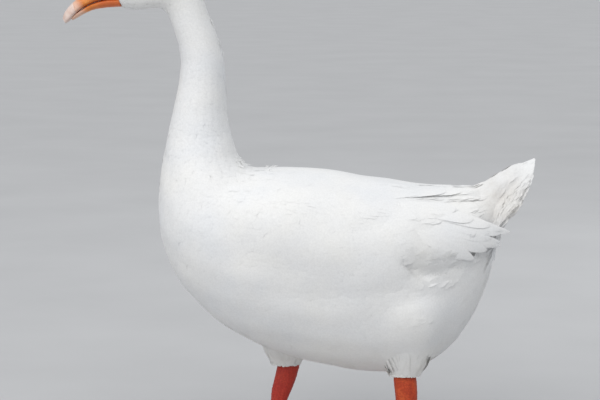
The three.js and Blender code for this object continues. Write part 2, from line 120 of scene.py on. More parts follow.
def new_mesh(name, vertices, faces, uv=None, sharp=math.radians(35)):
    """A smooth-shaded mesh object from arrays. faces is a list of index arrays of 3 or 4 columns."""
    mesh = bpy.data.meshes.new(name)
    vertices = np.asarray(vertices, np.float32).reshape(-1, 3)
    mesh.vertices.add(len(vertices))
    mesh.vertices.foreach_set("co", vertices.ravel())
    corners = np.concatenate([np.asarray(f, np.int32).ravel() for f in faces])
    sizes = np.concatenate([np.full(len(f), f.shape[1], np.int32) for f in faces])
    mesh.loops.add(len(corners))
    mesh.loops.foreach_set("vertex_index", corners)
    mesh.polygons.add(len(sizes))
    mesh.polygons.foreach_set("loop_start", np.concatenate([[0], np.cumsum(sizes)[:-1]]).astype(np.int32))
    mesh.polygons.foreach_set("use_smooth", np.ones(len(sizes), bool))
    mesh.update(calc_edges=True)
    if uv is not None:
        layer = mesh.uv_layers.new(name="OFBake")
        layer.data.foreach_set("uv", np.asarray(uv, np.float32)[corners].ravel())
    mesh.set_sharp_from_angle(angle=sharp)
    return new_object(name, mesh)


def piece(made, slot, *nodes):
    """Makes an object part of the goose: it rides on the body and stands for these CAD nodes."""
    made.data.materials.append(MATERIALS[slot])
    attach(made, "root")
    if nodes:
        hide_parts(*nodes)


def node_mesh(names):
    """The vertices and faces of some CAD nodes together."""
    vertices, faces = [], []
    for name in names:
        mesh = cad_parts[name].data
        faces += [[len(vertices) + i for i in p.vertices] for p in mesh.polygons]
        vertices += [tuple(v.co) for v in mesh.vertices]
    return vertices, faces


def tree_of(*names):
    """Some CAD nodes as one tree for rays."""
    return BVHTree.FromPolygons(*node_mesh(names))


def tube_faces(rows, cols):
    """The quads of a tube of closed rings, each of cols points."""
    i, j = np.meshgrid(np.arange(rows - 1), np.arange(cols), indexing="ij")
    a, b = i * cols + j, i * cols + (j + 1) % cols
    return np.stack([a, b, b + cols, a + cols], -1).reshape(-1, 4)


def capped(grid):
    """A closed tube from rings of points: its vertices and faces, with a fan of triangles at each end."""
    rows, cols = grid.shape[:2]
    vertices = np.concatenate([grid.reshape(-1, 3), grid[:1].mean(1), grid[-1:].mean(1)])
    j = np.arange(cols)
    after = (j + 1) % cols
    first, last, end = rows * cols, rows * cols + 1, (rows - 1) * cols
    low = np.stack([np.full(cols, first), after, j], -1)
    high = np.stack([np.full(cols, last), end + j, end + after], -1)
    return vertices, [tube_faces(rows, cols), np.concatenate([low, high])]


# ---- camera, light and floor ----

VIEW = {"target": (0.0013, 0, 0.344), "distance": 3.0, "elevation": 7, "width": 0.81, "sensor": 36}
SKY = {"colour": (0.83, 0.87, 0.93, 1), "strength": 0.42}
OVERHEAD = {"direction": (-0.22, -0.62, -1), "power": 2.1, "spread": 75, "colour": (1, 0.99, 0.975)}
LAMPS = {
    "front": {"place": (1.8, 1.9, 1.5), "colour": (1, 0.99, 0.97)},
    "rear": {"place": (-1.6, -1.8, 1.9), "colour": (0.96, 0.98, 1)},
}
LAMP_AIM, LAMP_SIZE, LAMP_POWER = Vector((0, 0, 0.35)), 1.6, 9
FLOOR_REACH = 60


def make_camera():
    """The photograph's view: from the bird's left, a little above, 0.81 m wide at the bird."""
    data = bpy.data.cameras.new("camera")
    data.sensor_width = VIEW["sensor"]
    data.lens = VIEW["sensor"] * VIEW["distance"] / VIEW["width"]
    data.clip_end = 200
    rise = math.radians(VIEW["elevation"])
    back = Vector((0, math.cos(rise), math.sin(rise)))
    camera = new_object("camera", data, -back)
    camera.location = Vector(VIEW["target"]) + back * VIEW["distance"]
    bpy.context.scene.camera = camera


def make_light():
    """An even sky, one wide overhead sun and two weak lamps."""
    scene = bpy.context.scene
    scene.view_settings.view_transform = "Standard"
    scene.world = bpy.data.worlds.new("studio")
    scene.world.use_nodes = True
    background = scene.world.node_tree.nodes["Background"]
    background.inputs["Color"].default_value = SKY["colour"]
    background.inputs["Strength"].default_value = SKY["strength"]
    sun = bpy.data.lights.new("overhead", "SUN")
    sun.energy = OVERHEAD["power"]
    sun.angle = math.radians(OVERHEAD["spread"])
    sun.color = OVERHEAD["colour"]
    new_object("overhead", sun, OVERHEAD["direction"])
    for name, lamp in LAMPS.items():
        data = bpy.data.lights.new(name, "AREA")
        data.shape = "DISK"
        data.size = LAMP_SIZE
        data.energy = LAMP_POWER
        data.color = lamp["colour"]
        place = Vector(lamp["place"])
        new_object(name, data, LAMP_AIM - place).location = place


def make_floor():
    corners = np.array([(-1, -1, 0), (1, -1, 0), (1, 1, 0), (-1, 1, 0)]) * FLOOR_REACH
    floor = new_mesh("floor", corners, [np.array([[0, 1, 2, 3]])])
    look = Look("floor_paint", Roughness=0.9)
    colour = look.ramp(look.noise(3), (0.3, (0.5, 0.503, 0.508)), (0.7, (0.53, 0.533, 0.538)))
    floor.data.materials.append(look.finish(colour))


# ---- materials ----

class Look:
    """A procedural material: a Principled shader and short ways to add nodes to it."""

    def __init__(self, name, **constants):
        self.material = bpy.data.materials.new(name)
        self.material.use_nodes = True
        self.tree = self.material.node_tree
        self.shader = self.tree.nodes["Principled BSDF"]
        for socket, value in constants.items():
            self.shader.inputs[socket.replace("_", " ")].default_value = value
        self.place = self.node("ShaderNodeTexCoord").outputs["Object"]

    def feed(self, socket, value):
        """Links a socket to another one, or sets it to a constant."""
        if isinstance(value, bpy.types.NodeSocket):
            self.tree.links.new(value, socket)
        elif socket.type == "RGBA":
            socket.default_value = (*value, 1)
        else:
            socket.default_value = value

    def node(self, kind, inputs=None, **settings):
        made = self.tree.nodes.new(kind)
        for name, value in settings.items():
            setattr(made, name, value)
        for key, value in (inputs or {}).items():
            self.feed(made.inputs[key], value)
        return made

    def noise(self, scale, detail=3, roughness=0.55, stretch=None):
        place = self.place
        if stretch:
            place = self.node("ShaderNodeMapping", {"Vector": place, "Scale": stretch}).outputs["Vector"]
        inputs = {"Vector": place, "Scale": scale, "Detail": detail, "Roughness": roughness}
        return self.node("ShaderNodeTexNoise", inputs).outputs["Fac"]

    def cells(self, scale):
        return self.node("ShaderNodeTexVoronoi", {"Vector": self.place, "Scale": scale}).outputs["Distance"]

    def ramp(self, source, *stops):
        """Colours by a value. Each stop is (position, colour)."""
        made = self.node("ShaderNodeValToRGB", {"Fac": source})
        elements = made.color_ramp.elements
        while len(elements) < len(stops):
            elements.new(0.5)
        for element, (position, colour) in zip(elements, stops):
            element.position = position
            element.color = (*colour, 1)
        return made.outputs["Color"]

    def blend(self, share, a, b, kind="MIX"):
        made = self.node("ShaderNodeMix", {0: share, 6: a, 7: b}, data_type="RGBA", blend_type=kind)
        return made.outputs[2]

    def multiply(self, a, b):
        return self.node("ShaderNodeMath", {0: a, 1: b}, operation="MULTIPLY").outputs[0]

    def tint(self, colour, shade, mask, share):
        """A colour with a shade laid over it where the mask is, by a share of the mask."""
        return self.blend(self.multiply(mask, share), colour, shade)

    def shaded(self, colour, by):
        return self.blend(1.0, colour, by, "MULTIPLY")

    def between(self, value, low, high):
        """0 where the value is at one limit and 1 at the other, with a soft step."""
        inputs = {"Value": value, "From Min": low, "From Max": high}
        return self.node("ShaderNodeMapRange", inputs, interpolation_type="SMOOTHSTEP").outputs["Result"]

    def sphere(self, centre, inner, outer):
        """1 inside a ball round a point, falling to 0 at the outer radius."""
        away = self.node("ShaderNodeVectorMath", {0: self.place, 1: centre}, operation="DISTANCE")
        return self.between(away.outputs["Value"], outer, inner)

    def along(self, direction, low, high):
        """0 below one distance along a direction and 1 above another."""
        far = self.node("ShaderNodeVectorMath", {0: self.place, 1: direction}, operation="DOT_PRODUCT")
        return self.between(far.outputs["Value"], low, high)

    def finish(self, colour, least=None, spread=None, grain=None, bump=None, distance=0.0003, strength=0.5):
        """Sets the colour, a roughness of least plus spread times the grain, and the fine bumps."""
        self.feed(self.shader.inputs["Base Color"], colour)
        if grain is not None:
            inputs = {0: self.multiply(grain, spread), 1: least}
            rough = self.node("ShaderNodeMath", inputs, operation="ADD").outputs[0]
            self.feed(self.shader.inputs["Roughness"], rough)
        if bump is not None:
            made = self.node("ShaderNodeBump", {"Height": bump, "Distance": distance, "Strength": strength})
            self.feed(self.shader.inputs["Normal"], made.outputs["Normal"])
        return self.material


def plumage_material():
    """Clean white, a little creamy in patches, soiled under the tail, and yellower and darker under the
    belly, partly soil and partly painted shade.
    """
    look = Look("plumage", Sheen_Weight=0.12, Sheen_Roughness=0.5)
    stops = (0.3, (0.83, 0.84, 0.85)), (0.5, (0.865, 0.865, 0.86)), (0.72, (0.88, 0.875, 0.855))
    base = look.ramp(look.noise(14, 2), *stops)
    fine = look.ramp(look.noise(420, 2), (0.3, (0.93, 0.93, 0.93)), (0.7, (1, 1, 1)))
    under_tail, belly = look.sphere((-0.283, 0, 0.335), 0.015, 0.075), look.along((0, 0, -1), -0.2, -0.11)
    colour = look.tint(look.shaded(base, fine), (0.56, 0.52, 0.47), under_tail, look.noise(60, 4))
    # Painted shade, partly soil: a warm grey tint makes the underside darker towards the bottom.
    colour = look.tint(colour, (0.76, 0.745, 0.7), belly, look.noise(35, 3))
    barbs = look.noise(900, 2, stretch=(1, 1, 0.35))
    return look.finish(colour, 0.64, 0.16, look.noise(160), barbs, 0.0002, 0.35)


def bill_material():
    """Orange horn with fine wrinkles, darker red low at the back as painted shade, and paler along the front
    of its edge.
    """
    look = Look("bill_horn", Specular_IOR_Level=0.45, Coat_Weight=0.12, Coat_Roughness=0.3)
    base = look.ramp(
        look.noise(90, 4), (0.32, (0.7, 0.2, 0.035)), (0.55, (0.8, 0.26, 0.045)), (0.75, (0.86, 0.34, 0.085))
    )
    forward = (0.83, 0, -0.56)
    colour = look.tint(base, (0.86, 0.45, 0.22), look.along(forward, -0.105, -0.075), 0.3)
    colour = look.tint(colour, (0.82, 0.58, 0.47), look.along(forward, -0.102, -0.089), 0.8)
    # Painted shade: the lower bill is darker red at its back, next to the face.
    low, behind = look.along((0.33, 0, -1), -0.538, -0.528), look.along((-1, 0, 0), -0.285, -0.262)
    colour = look.tint(colour, (0.66, 0.11, 0.03), look.multiply(low, behind), 0.65)
    speck = look.ramp(look.noise(1400, 2), (0.35, (0.86, 0.83, 0.8)), (0.6, (1, 1, 1)))
    colour = look.shaded(colour, speck)
    return look.finish(colour, 0.34, 0.22, look.noise(300), look.noise(700, 5, 0.6), 0.0004, 0.45)


def nail_material():
    look = Look("bill_nail", Specular_IOR_Level=0.5, Coat_Weight=0.2, Coat_Roughness=0.25)
    colour = look.ramp(
        look.noise(120, 4), (0.3, (0.7, 0.5, 0.42)), (0.55, (0.78, 0.62, 0.55)), (0.8, (0.82, 0.7, 0.64))
    )
    grooves = look.noise(500, 4, stretch=(0.4, 1, 1))
    return look.finish(colour, 0.26, 0.2, look.noise(260), grooves, 0.0003, 0.35)


def leg_material():
    """Orange red scaly skin, darker and more crimson on the right leg as painted shade of the far side, and
    dusty towards the soles.
    """
    look = Look("leg_skin", Specular_IOR_Level=0.4)
    base = look.ramp(
        look.noise(70, 4), (0.3, (0.5, 0.055, 0.016)), (0.5, (0.6, 0.078, 0.02)), (0.75, (0.7, 0.13, 0.035))
    )
    # Painted shade: the right leg, on the far side, is darker and more crimson.
    colour = look.tint(base, (0.52, 0.032, 0.026), look.along((0, -1, 0), -0.01, 0.01), 0.75)
    cell = look.ramp(look.cells(420), (0.1, (1, 1, 1)), (0.75, (0.74, 0.66, 0.62)))
    low = look.along((0, 0, -1), -0.022, -0.002)
    colour = look.tint(look.shaded(colour, cell), (0.42, 0.24, 0.15), low, look.noise(180, 4))
    return look.finish(colour, 0.42, 0.25, look.noise(220), look.cells(900), 0.0002, 0.35)


def claw_material():
    look = Look("claw_horn", Specular_IOR_Level=0.5, Coat_Weight=0.15, Coat_Roughness=0.3)
    colour = look.ramp(look.noise(260, 4), (0.3, (0.42, 0.25, 0.17)), (0.7, (0.62, 0.42, 0.31)))
    grooves = look.noise(900, 3, stretch=(0.3, 1, 1))
    return look.finish(colour, 0.3, 0.2, look.noise(400), grooves, 0.0002, 0.4)


# Middle of the eye in the frame, radius of the ball, how far it stands out, and the radii of the bare ring,
# the pupil, the iris and the whole of the ball that has colours.
EYE = {"x": 211.3, "z": 640, "radius": 8.2, "bulge": 2, "bare": 8.6, "pupil": 2.5, "iris": 5.2, "rim": 8}


def eye_material():
    """A blue iris round a black pupil under a clear wet coat."""
    look = Look("eye", Roughness=0.12, Coat_Weight=1.0, Coat_Roughness=0.02, Specular_IOR_Level=0.6)
    inputs = {0: look.place, 1: (1 / MM, 0, 1 / MM), 2: (-EYE["x"], 0, -EYE["z"])}
    flat = look.node("ShaderNodeVectorMath", inputs, operation="MULTIPLY_ADD")
    away = look.node("ShaderNodeVectorMath", {0: flat.outputs[0]}, operation="LENGTH")
    far = look.node("ShaderNodeMath", {0: away.outputs["Value"], 1: EYE["rim"]}, operation="DIVIDE")
    pupil, iris = EYE["pupil"] / EYE["rim"], EYE["iris"] / EYE["rim"]
    rings = look.ramp(
        far.outputs[0], (pupil - 0.02, (0.004, 0.004, 0.005)), (pupil + 0.02, (0.03, 0.09, 0.17)),
        (mix(pupil, iris, 0.5), (0.1, 0.24, 0.4)), (iris - 0.04, (0.07, 0.17, 0.3)),
        (iris + 0.01, (0.01, 0.014, 0.02)), (0.9, (0.1, 0.07, 0.06)),
    )
    streak = look.ramp(look.noise(1100, 3), (0.3, (0.62, 0.62, 0.66)), (0.7, (1.2, 1.2, 1.15)))
    return look.finish(look.shaded(rings, streak))


# ---- surfaces of the bird ----

# Slices of the body from the face to the tail, in mm: dorsal x, z, ventral x, z, half width, height of the
# widest level. Rays from the middle of each slice find the CAD nodes.
STATIONS = [
    (305, 640, 291.6, 603.6, 15.5, 0.48),
    (289, 652, 281, 600.5, 20.5, 0.5),
    (268, 661, 267, 600, 24.5, 0.5),
    (243, 663.5, 252, 602, 27, 0.46),
    (217, 658, 240, 602, 27.5, 0.48),
    (196, 643, 232.5, 596.5, 26, 0.5),
    (184.5, 619, 227.5, 587, 25, 0.5),
    (176, 593, 222.5, 572.5, 25.5, 0.5),
    (165, 566, 216.5, 553, 27, 0.5),
    (156, 534, 213.5, 529, 29.5, 0.5),
    (153, 500, 217, 499, 33, 0.5),
    (152, 464, 225, 464, 38.5, 0.5),
    (147, 435, 232.5, 430, 46, 0.5),
    (138, 407, 240, 390, 59, 0.5),
    (126, 392, 245, 340, 76, 0.52),
    (113, 387.3, 239, 283, 91, 0.54),
    (94, 387.6, 214, 230, 101, 0.54),
    (67, 388.5, 170, 184, 108, 0.54),
    (38, 387.5, 115, 150, 111, 0.54),
    (1, 384, 39, 124, 112, 0.53),
    (-35, 377.5, -35, 111, 110, 0.52),
    (-70, 373, -94, 112.5, 103, 0.52),
    (-105, 367, -136, 131.5, 90, 0.54),
    (-141, 364, -168.5, 167.5, 72, 0.56),
    (-172, 363, -193.5, 213, 52, 0.58),
    (-200, 373, -211, 257, 48, 0.6),
    (-224, 385, -222, 296, 45, 0.6),
    (-243, 393, -238, 330, 42, 0.6),
    (-254, 397.8, -249, 364, 34, 0.55),
    (-260.5, 400, -258, 388, 18, 0.5),
]
FIRST, LAST = 0.03, 28.9     # stations where the body's surface begins and ends, just inside its ends
BODY_ROWS, BODY_COLUMNS = 291, 180
WING_ENDS = (24, 24.6)       # stations over which the surface leaves the wings for the rump
EVEN = (0.7548776662466927, 0.5698402909980532)   # steps of the R2 sequence, which fills a square evenly


class Surface:
    """A grid of points on the bird, read by u along the lie of the coat and v across it, both 0 to 1."""

    def __init__(self, points, closed, outward):
        rows, cols = points.shape[:2]
        self.points = points
        self.closed = closed
        self.steps = cols if closed else cols - 1
        self.along = np.gradient(points, axis=0) * (rows - 1)
        round_it = (np.roll(points, -1, 1) - np.roll(points, 1, 1)) / 2
        self.across = (round_it if closed else np.gradient(points, axis=1)) * self.steps
        cross = np.cross(self.along, self.across)
        normal = unit(cross)
        self.normal = normal * np.sign((normal * outward).sum())
        self.area = np.linalg.norm(cross, axis=-1) / (rows * self.steps)

    def read(self, what, u, v):
        """Values of a grid such as self.points at each u and v. Points run on straight past the ends."""
        grid = getattr(self, what)
        rows, cols = grid.shape[:2]
        inner_u, inner_v = np.clip(u, 0, 1), v % 1 if self.closed else np.clip(v, 0, 1)
        row, col = inner_u * (rows - 1), inner_v * self.steps
        i, j = np.minimum(row.astype(int), rows - 2), np.minimum(col.astype(int), self.steps - 1)
        after = (j + 1) % cols
        share = (col - j)[..., None]
        near = mix(grid[i, j], grid[i, after], share)
        far = mix(grid[i + 1, j], grid[i + 1, after], share)
        found = mix(near, far, (row - i)[..., None])
        if what == "points":
            found = found + (u - inner_u)[..., None] * self.read("along", u, v)
            if not self.closed:
                found = found + (v - inner_v)[..., None] * self.read("across", u, v)
        return found

    def frame_at(self, u, v):
        """The outward normal and the directions along and to the side of the coat's lie."""
        normal = unit(self.read("normal", u, v))
        along = self.read("along", u, v)
        ahead = unit(along - (along * normal).sum(-1, keepdims=True) * normal)
        return normal, ahead, np.cross(normal, ahead)

    def scatter(self, spacing, keep=lambda u: True):
        """Even roots all over the surface. spacing and keep are functions of u."""
        rows, cols = self.points.shape[:2]
        u = np.repeat((np.arange(rows) + 0.5)[:, None] / rows, cols, axis=1)
        weight = self.area / spacing(u) ** 2 * keep(u)
        in_row = weight.sum(1)
        k = np.arange(int(weight.sum())) + 0.5
        a, b = (k * EVEN[0]) % 1, (k * EVEN[1]) % 1
        edges = np.concatenate([[0], np.cumsum(in_row)]) / in_row.sum()
        i = np.clip(np.searchsorted(edges, a, side="right") - 1, 0, rows - 1)
        in_cell = (a - edges[i]) / np.maximum(edges[i + 1] - edges[i], 1e-12)
        shares = np.cumsum(weight, 1) / np.maximum(in_row, 1e-12)[:, None]
        j = np.clip((shares[i] < b[:, None]).sum(1), 0, cols - 1)
        before = np.where(j > 0, shares[i, j - 1], 0)
        beside = (b - before) / np.maximum(shares[i, j] - before, 1e-12)
        return (i + in_cell) / rows, (j + np.clip(beside, 0, 1)) / cols


def soften(values, passes):
    """Averages a grid with its neighbours, along its rows and round its columns."""
    for _ in range(passes):
        padded = np.concatenate([values[:1], values, values[-1:]])
        values = (padded[:-2] + 2 * padded[1:-1] + padded[2:]) / 4
        values = (np.roll(values, 1, 1) + 2 * values + np.roll(values, -1, 1)) / 4
    return values


def cast_rings(tree, centres, directions, reach):
    """How far the surface is from each centre in each direction, found by rays that come from outside."""
    found = np.full(reach.shape, np.nan)
    for index in np.ndindex(reach.shape):
        direction = Vector(directions[index])
        start = Vector(centres[index]) + direction * reach[index]
        hit = tree.ray_cast(start, -direction, reach[index])
        if hit[0] is not None:
            found[index] = reach[index] - hit[3]
    return filled(found)


def filled(found):
    """A grid of distances where what the rays missed, such as a cut between nodes, is read from beside it."""
    rows, cols = found.shape
    for row in found:
        known = np.flatnonzero(~np.isnan(row))
        if len(known) > cols / 2:
            row[:] = np.interp(np.arange(cols), known, row[known], period=cols)
    known = np.flatnonzero(~np.isnan(found).any(1))
    return np.stack([np.interp(np.arange(rows), known, found[known, j]) for j in range(cols)], 1)


# Soft relief of the plumage on both sides, in frame mm: x, z, half length, half width above and below its
# line, how many degrees the line falls towards the tail, and its height.
RELIEF = [
    (-146, 262, 18, 15, 4.5, 34, -7.4),
    (-174, 253, 24, 16, 4.5, -2, -8),
    (-206, 262, 12, 10, 4, 6, -5),
    (-228, 276, 10, 9, 4, 6, -5),
    (-107, 328, 40, 11, 11, -16, -1.5),
    (-184, 331, 34, 11, 11, 14, 1.6),
    (-202, 350, 46, 2.5, 9, 1, -3),
]
# The coverts over the tail's root stand out, the ones under it are drawn in forward, and the coat is in soft
# clumps: mm, body stations of the band, and between which cosines round the ring. The period is in metres.
TAIL_PUFF = {"out": 4, "band": (24.3, 25.8, 26.3, 27.4), "top": (0.2, 0.8)}
TAIL_TUCK = {"forward": 7, "band": (24.6, 25.8, 26.6, 28.3), "under": (-0.5, 0.2)}
CLUMPS = {"period": 0.055, "stretch": (0.7, 1, 1.2), "seed": 11, "height": 0.8, "band": (11, 14, 25, 27)}
RAY_ROOM = 0.035             # rays start this far outside the slices, in metres
LIGHTLY, WELL, FULLY = 3, 12, 30   # passes of soften
# Where the rings are smoothed more, by body station and by x and z in frame mm.
TRUNK, RUMP = (15, 17), (23.8, 25, 26.2, 27.4)
SHOULDER = {"x": (-140, -80), "stations": (13, 15)}
THIGH_JOIN = (205, 240)
WING_EDGE = {"x": (-235, -205), "z": (225, 245, 285, 305)}


def relief_at(points):
    """How far the plumage stands out at each point, in metres."""
    x, z = points[..., 0] / MM, points[..., 2] / MM
    total = np.zeros(x.shape)
    for cx, cz, long, above, below, fall, height in RELIEF:
        turn = math.radians(fall)
        along = (cx - x) * math.cos(turn) + (cz - z) * math.sin(turn)
        across = (z - cz) * math.cos(turn) + (cx - x) * math.sin(turn)
        wide = np.where(across > 0, above, below)
        total += height * np.exp(-((along / long) ** 2) - (across / wide) ** 2)
    return total * smooth(np.abs(points[..., 1]), 0.01, 0.03) * MM


def softened(rough, t, centres, directions):
    """The rays' distances, smoothed most where the CAD nodes meet at a step."""
    radius = soften(rough, LIGHTLY)
    x, z = (centres + directions * radius[..., None])[..., (0, 2)].transpose(2, 0, 1) / MM
    trunk = smooth(t, *TRUNK)[:, None]
    shoulder = smooth(x, *SHOULDER["x"]) * smooth(t, *SHOULDER["stations"])[:, None]
    thigh = (1 - smooth(z, *THIGH_JOIN)) * trunk
    radius = mix(radius, soften(rough, WELL), np.maximum(shoulder, thigh))
    smoothest = soften(rough, FULLY)
    wing_edge = smooth(x, *WING_EDGE["x"]) * band(z, *WING_EDGE["z"]) * trunk
    return mix(mix(radius, smoothest, wing_edge), smoothest, band(t, *RUMP)[:, None])


def body_surface():
    """Head, neck, trunk, thighs and tail with the folded wings on them, as rings from the face back."""
    t = np.linspace(FIRST, LAST, BODY_ROWS)
    slices = through(STATIONS, t)
    low = np.stack([slices[:, 2] + SHIFT, 0 * t, slices[:, 3]], -1) * MM
    high = np.stack([slices[:, 0] + SHIFT, 0 * t, slices[:, 1]], -1) * MM
    depth = np.linalg.norm(high - low, axis=-1)
    centre = (low + (high - low) * slices[:, 5:6])[:, None]
    angle = ring_angles(BODY_COLUMNS)
    up = unit(high - low)[:, None, :]
    sideways = np.array([0, 1, 0])
    directions = up * np.cos(angle)[None, :, None] + sideways * np.sin(angle)[None, :, None]
    centres = np.broadcast_to(centre, directions.shape)
    tall = np.abs(np.cos(angle))[None] * (0.6 * depth)[:, None]
    wide = np.abs(np.sin(angle))[None] * (slices[:, 4] * MM)[:, None]
    reach = tall + wide + RAY_ROOM
    flesh = ("head", "neck_upper", "neck_lower", "trunk", "thigh_left", "thigh_right", "tail")
    bare = cast_rings(tree_of(*flesh), centres, directions, reach)
    winged = cast_rings(tree_of(*flesh, "wing_left", "wing_right"), centres, directions, reach)
    rough = mix(winged, bare, smooth(t, *WING_ENDS)[:, None])
    points = centres + directions * softened(rough, t, centres, directions)[..., None]

    rear = smooth(-np.cos(angle), *TAIL_TUCK["under"])[None] * band(t, *TAIL_TUCK["band"])[:, None]
    points[..., 0] += rear * TAIL_TUCK["forward"] * MM
    normal = Surface(points, True, points - centre).normal
    clumps = wave(points * CLUMPS["stretch"], CLUMPS["period"], CLUMPS["seed"]) * CLUMPS["height"] * MM
    feathered = band(t, *CLUMPS["band"])[:, None]
    top = smooth(np.cos(angle), *TAIL_PUFF["top"])[None] * band(t, *TAIL_PUFF["band"])[:, None]
    lift = relief_at(points) + clumps * feathered + top * TAIL_PUFF["out"] * MM
    points = points + normal * lift[..., None]
    return Surface(points, True, points - centre)


def stations_of(u):
    return FIRST + u * (LAST - FIRST)


# ---- feathers ----

PATCH = 0.0015               # half the size of a feather's patch on the unwrap of its surface


def contour_shape(s):
    """Half width along a body feather: it swells from the root and has a round end."""
    end = np.clip(1 - (np.clip(s - 0.6, 0, 1) / 0.42) ** 2, 0.02, 1)
    return (0.4 + 0.6 * smooth(s, 0, 0.5)) * np.sqrt(end)


def flight_shape(s):
    """Half width along a flight feather: nearly parallel sides and a blunt point."""
    taper = np.clip(s - 0.62, 0, 1) / 0.385
    return (0.35 + 0.65 * smooth(s, 0, 0.2)) * np.clip(1 - taper**2, 0.012, 1) ** 0.62


def wisp_shape(s):
    """Half width along a loose soft feather that runs out to a point."""
    return (0.5 + 0.5 * smooth(s, 0, 0.3)) * np.clip(1 - s, 0.03, 1) ** 0.6


def grow(surface, u, v, length, width, root, tip, rows, yaw=0.0, shape=contour_shape,
         thick=0.0005, notch=0.2, sweep=0.5, camber=0.12, curl=0.0, lean=1.0, settle=1.2, bank=0.0):
    """Feathers that follow a surface from their roots. root and tip are heights over the surface.

    Returns the vertices, the faces and the OFBake places of the vertices. Each feather is a closed vane:
    a ridge down its middle, two notched edges and a flat underside. yaw and curl turn it from the coat's
    lie, sweep and camber bend its edges back and down, and bank tips it towards its left.
    """
    count = len(u)
    full = lambda value: np.broadcast_to(np.asarray(value, float), (count,)).copy()
    length, width, root, tip, yaw, curl = (full(x) for x in (length, width, root, tip, yaw, curl))
    thick, camber = full(thick)[:, None], full(camber)[:, None]
    share = np.linspace(0, 1, rows) ** 0.85
    place_u, place_v = u.copy(), v.copy()
    ridge = np.empty((count, rows, 3))
    left, right = ridge.copy(), ridge.copy()
    profile = shape(share)
    for i, s in enumerate(share):
        point = surface.read("points", place_u, place_v)
        normal, ahead, side = surface.frame_at(place_u, place_v)
        turn = (yaw + curl * s)[:, None]
        heading = ahead * np.cos(turn) + side * np.sin(turn)
        beside = np.cross(normal, heading)
        middle = point + normal * mix(root, tip, 1 - (1 - s) ** settle)[:, None]
        tooth = 1 - notch * rng.uniform(0.3, 1, (count, 2)) * (i % 2) * (s > 0.3)
        half = (width / 2 * profile[i])[:, None]
        push = heading * half * sweep * smooth(s, 0, 0.4)
        drop = normal * half * camber
        ridge[:, i] = middle + normal * (thick * (1 - 0.6 * s))
        edge, rise = middle + push - drop, normal * half * bank
        left[:, i] = edge + beside * (half * tooth[:, :1] * lean) - rise
        right[:, i] = edge - beside * (half * tooth[:, 1:] * (2 - lean)) + rise
        if i + 1 < rows:
            step = heading * (length * (share[i + 1] - s))[:, None]
            along = surface.read("along", place_u, place_v)
            across = surface.read("across", place_u, place_v)
            aa, ac, cc = ((p * q).sum(-1) for p, q in ((along, along), (along, across), (across, across)))
            sa, sc = (step * along).sum(-1), (step * across).sum(-1)
            whole = np.maximum(aa * cc - ac * ac, 1e-12)
            place_u = place_u + (sa * cc - sc * ac) / whole
            place_v = place_v + (sc * aa - sa * ac) / whole
    vertices = np.stack([ridge, left, right], 2).reshape(-1, 3)

    r = np.arange(rows - 1) * 3
    quads = np.concatenate([
        np.stack([r + 1, r, r + 3, r + 4], -1),
        np.stack([r, r + 2, r + 5, r + 3], -1),
        np.stack([r + 2, r + 1, r + 4, r + 5], -1),
    ])
    end = 3 * (rows - 1)
    caps = np.array([[0, 1, 2], [end + 1, end, end + 2]])
    offset = (np.arange(count) * rows * 3)[:, None, None]
    faces = [(quads[None] + offset).reshape(-1, 4), (caps[None] + offset).reshape(-1, 3)]

    beside = np.broadcast_to(np.array([0, -1, 1]) * PATCH, (rows, 3))
    behind = ((share * 2 - 1) * PATCH)[:, None] + np.array([0.2, 0, 0]) * PATCH
    places = np.stack([v[:, None, None] % 1 + beside, u[:, None, None] + behind], -1).reshape(-1, 2)
    return vertices, faces, places


def joined(*parts):
    """Several sets of feathers as one."""
    starts = np.cumsum([0] + [len(vertices) for vertices, _, _ in parts])
    faces = [np.concatenate([part[1][k] + start for part, start in zip(parts, starts)]) for k in range(2)]
    return np.concatenate([part[0] for part in parts]), faces, np.concatenate([part[2] for part in parts])


def mirrored(feathers):
    vertices, (quads, triangles), places = feathers
    return vertices * np.array([1, -1, 1]), [quads[:, ::-1], triangles[:, ::-1]], places


def coat_piece(name, feathers, *nodes):
    """A coat object. Its OFBake places are stretched to fill the map, each tuft keeping its small patch."""
    vertices, faces, places = feathers
    low, high = places.min(0), places.max(0)
    piece(new_mesh(name, vertices, faces, 0.01 + 0.98 * (places - low) / (high - low)), "plumage", *nodes)


def long_feathers(surface, start, end, width, root, tip, rows, **looks):
    """Flight feathers from one u and v to another, each at the lifts of its root and tip."""
    away = surface.read("points", *end) - surface.read("points", *start)
    _, ahead, side = surface.frame_at(*start)
    yaw = np.arctan2((away * side).sum(-1), (away * ahead).sum(-1))
    length = np.linalg.norm(away, axis=-1)
    return grow(
        surface, *start, length, width, root, tip, rows, yaw, flight_shape, notch=0.06, sweep=0.3, **looks
    )


# The coat by station of the body: feather length, width, spacing of the roots and depth of the coat, in mm.
COAT = {
    "station": [0, 2, 4, 6, 8, 10, 12, 13, 14, 15, 17, 20, 23, 25, 26, 27, 28, 29],
    "length": [3.8, 5.2, 6.4, 8, 10.5, 14, 18, 22, 27, 32, 37, 40, 40, 34, 26, 20, 14, 8],
    "width": [1.9, 2.5, 3.1, 3.8, 5, 6.6, 8.6, 11, 13.5, 16, 18, 19, 18, 13, 9.5, 8.5, 7.5, 6],
    "spacing": [1.35, 1.7, 2, 2.3, 2.8, 3.4, 4.3, 5.2, 6, 6.8, 7.4, 7.8, 7.4, 5.6, 4.4, 4, 3.6, 3.4],
    "depth": [0.9, 1.3, 1.6, 2, 2.5, 3, 3.6, 4, 4.5, 5, 5, 5.5, 5, 5, 4.5, 3.5, 1.5, 0.6],
}
ROOT_DEPTH = 0.55            # how deep the roots lie, as a share of the depth of the coat
# The coat's pieces: name, first and last station, and rows of points along each feather.
COAT_PIECES = [
    ("coat_head", 0, 6, 4),
    ("coat_neck", 6, 12.5, 6),
    ("coat_breast", 12.5, 17, 9),
    ("coat_flank", 17, 21, 9),
    ("coat_rear", 21, 28.3, 9),
]


def coat_size(kind, u):
    return np.interp(stations_of(u), COAT["station"], COAT[kind]) * MM


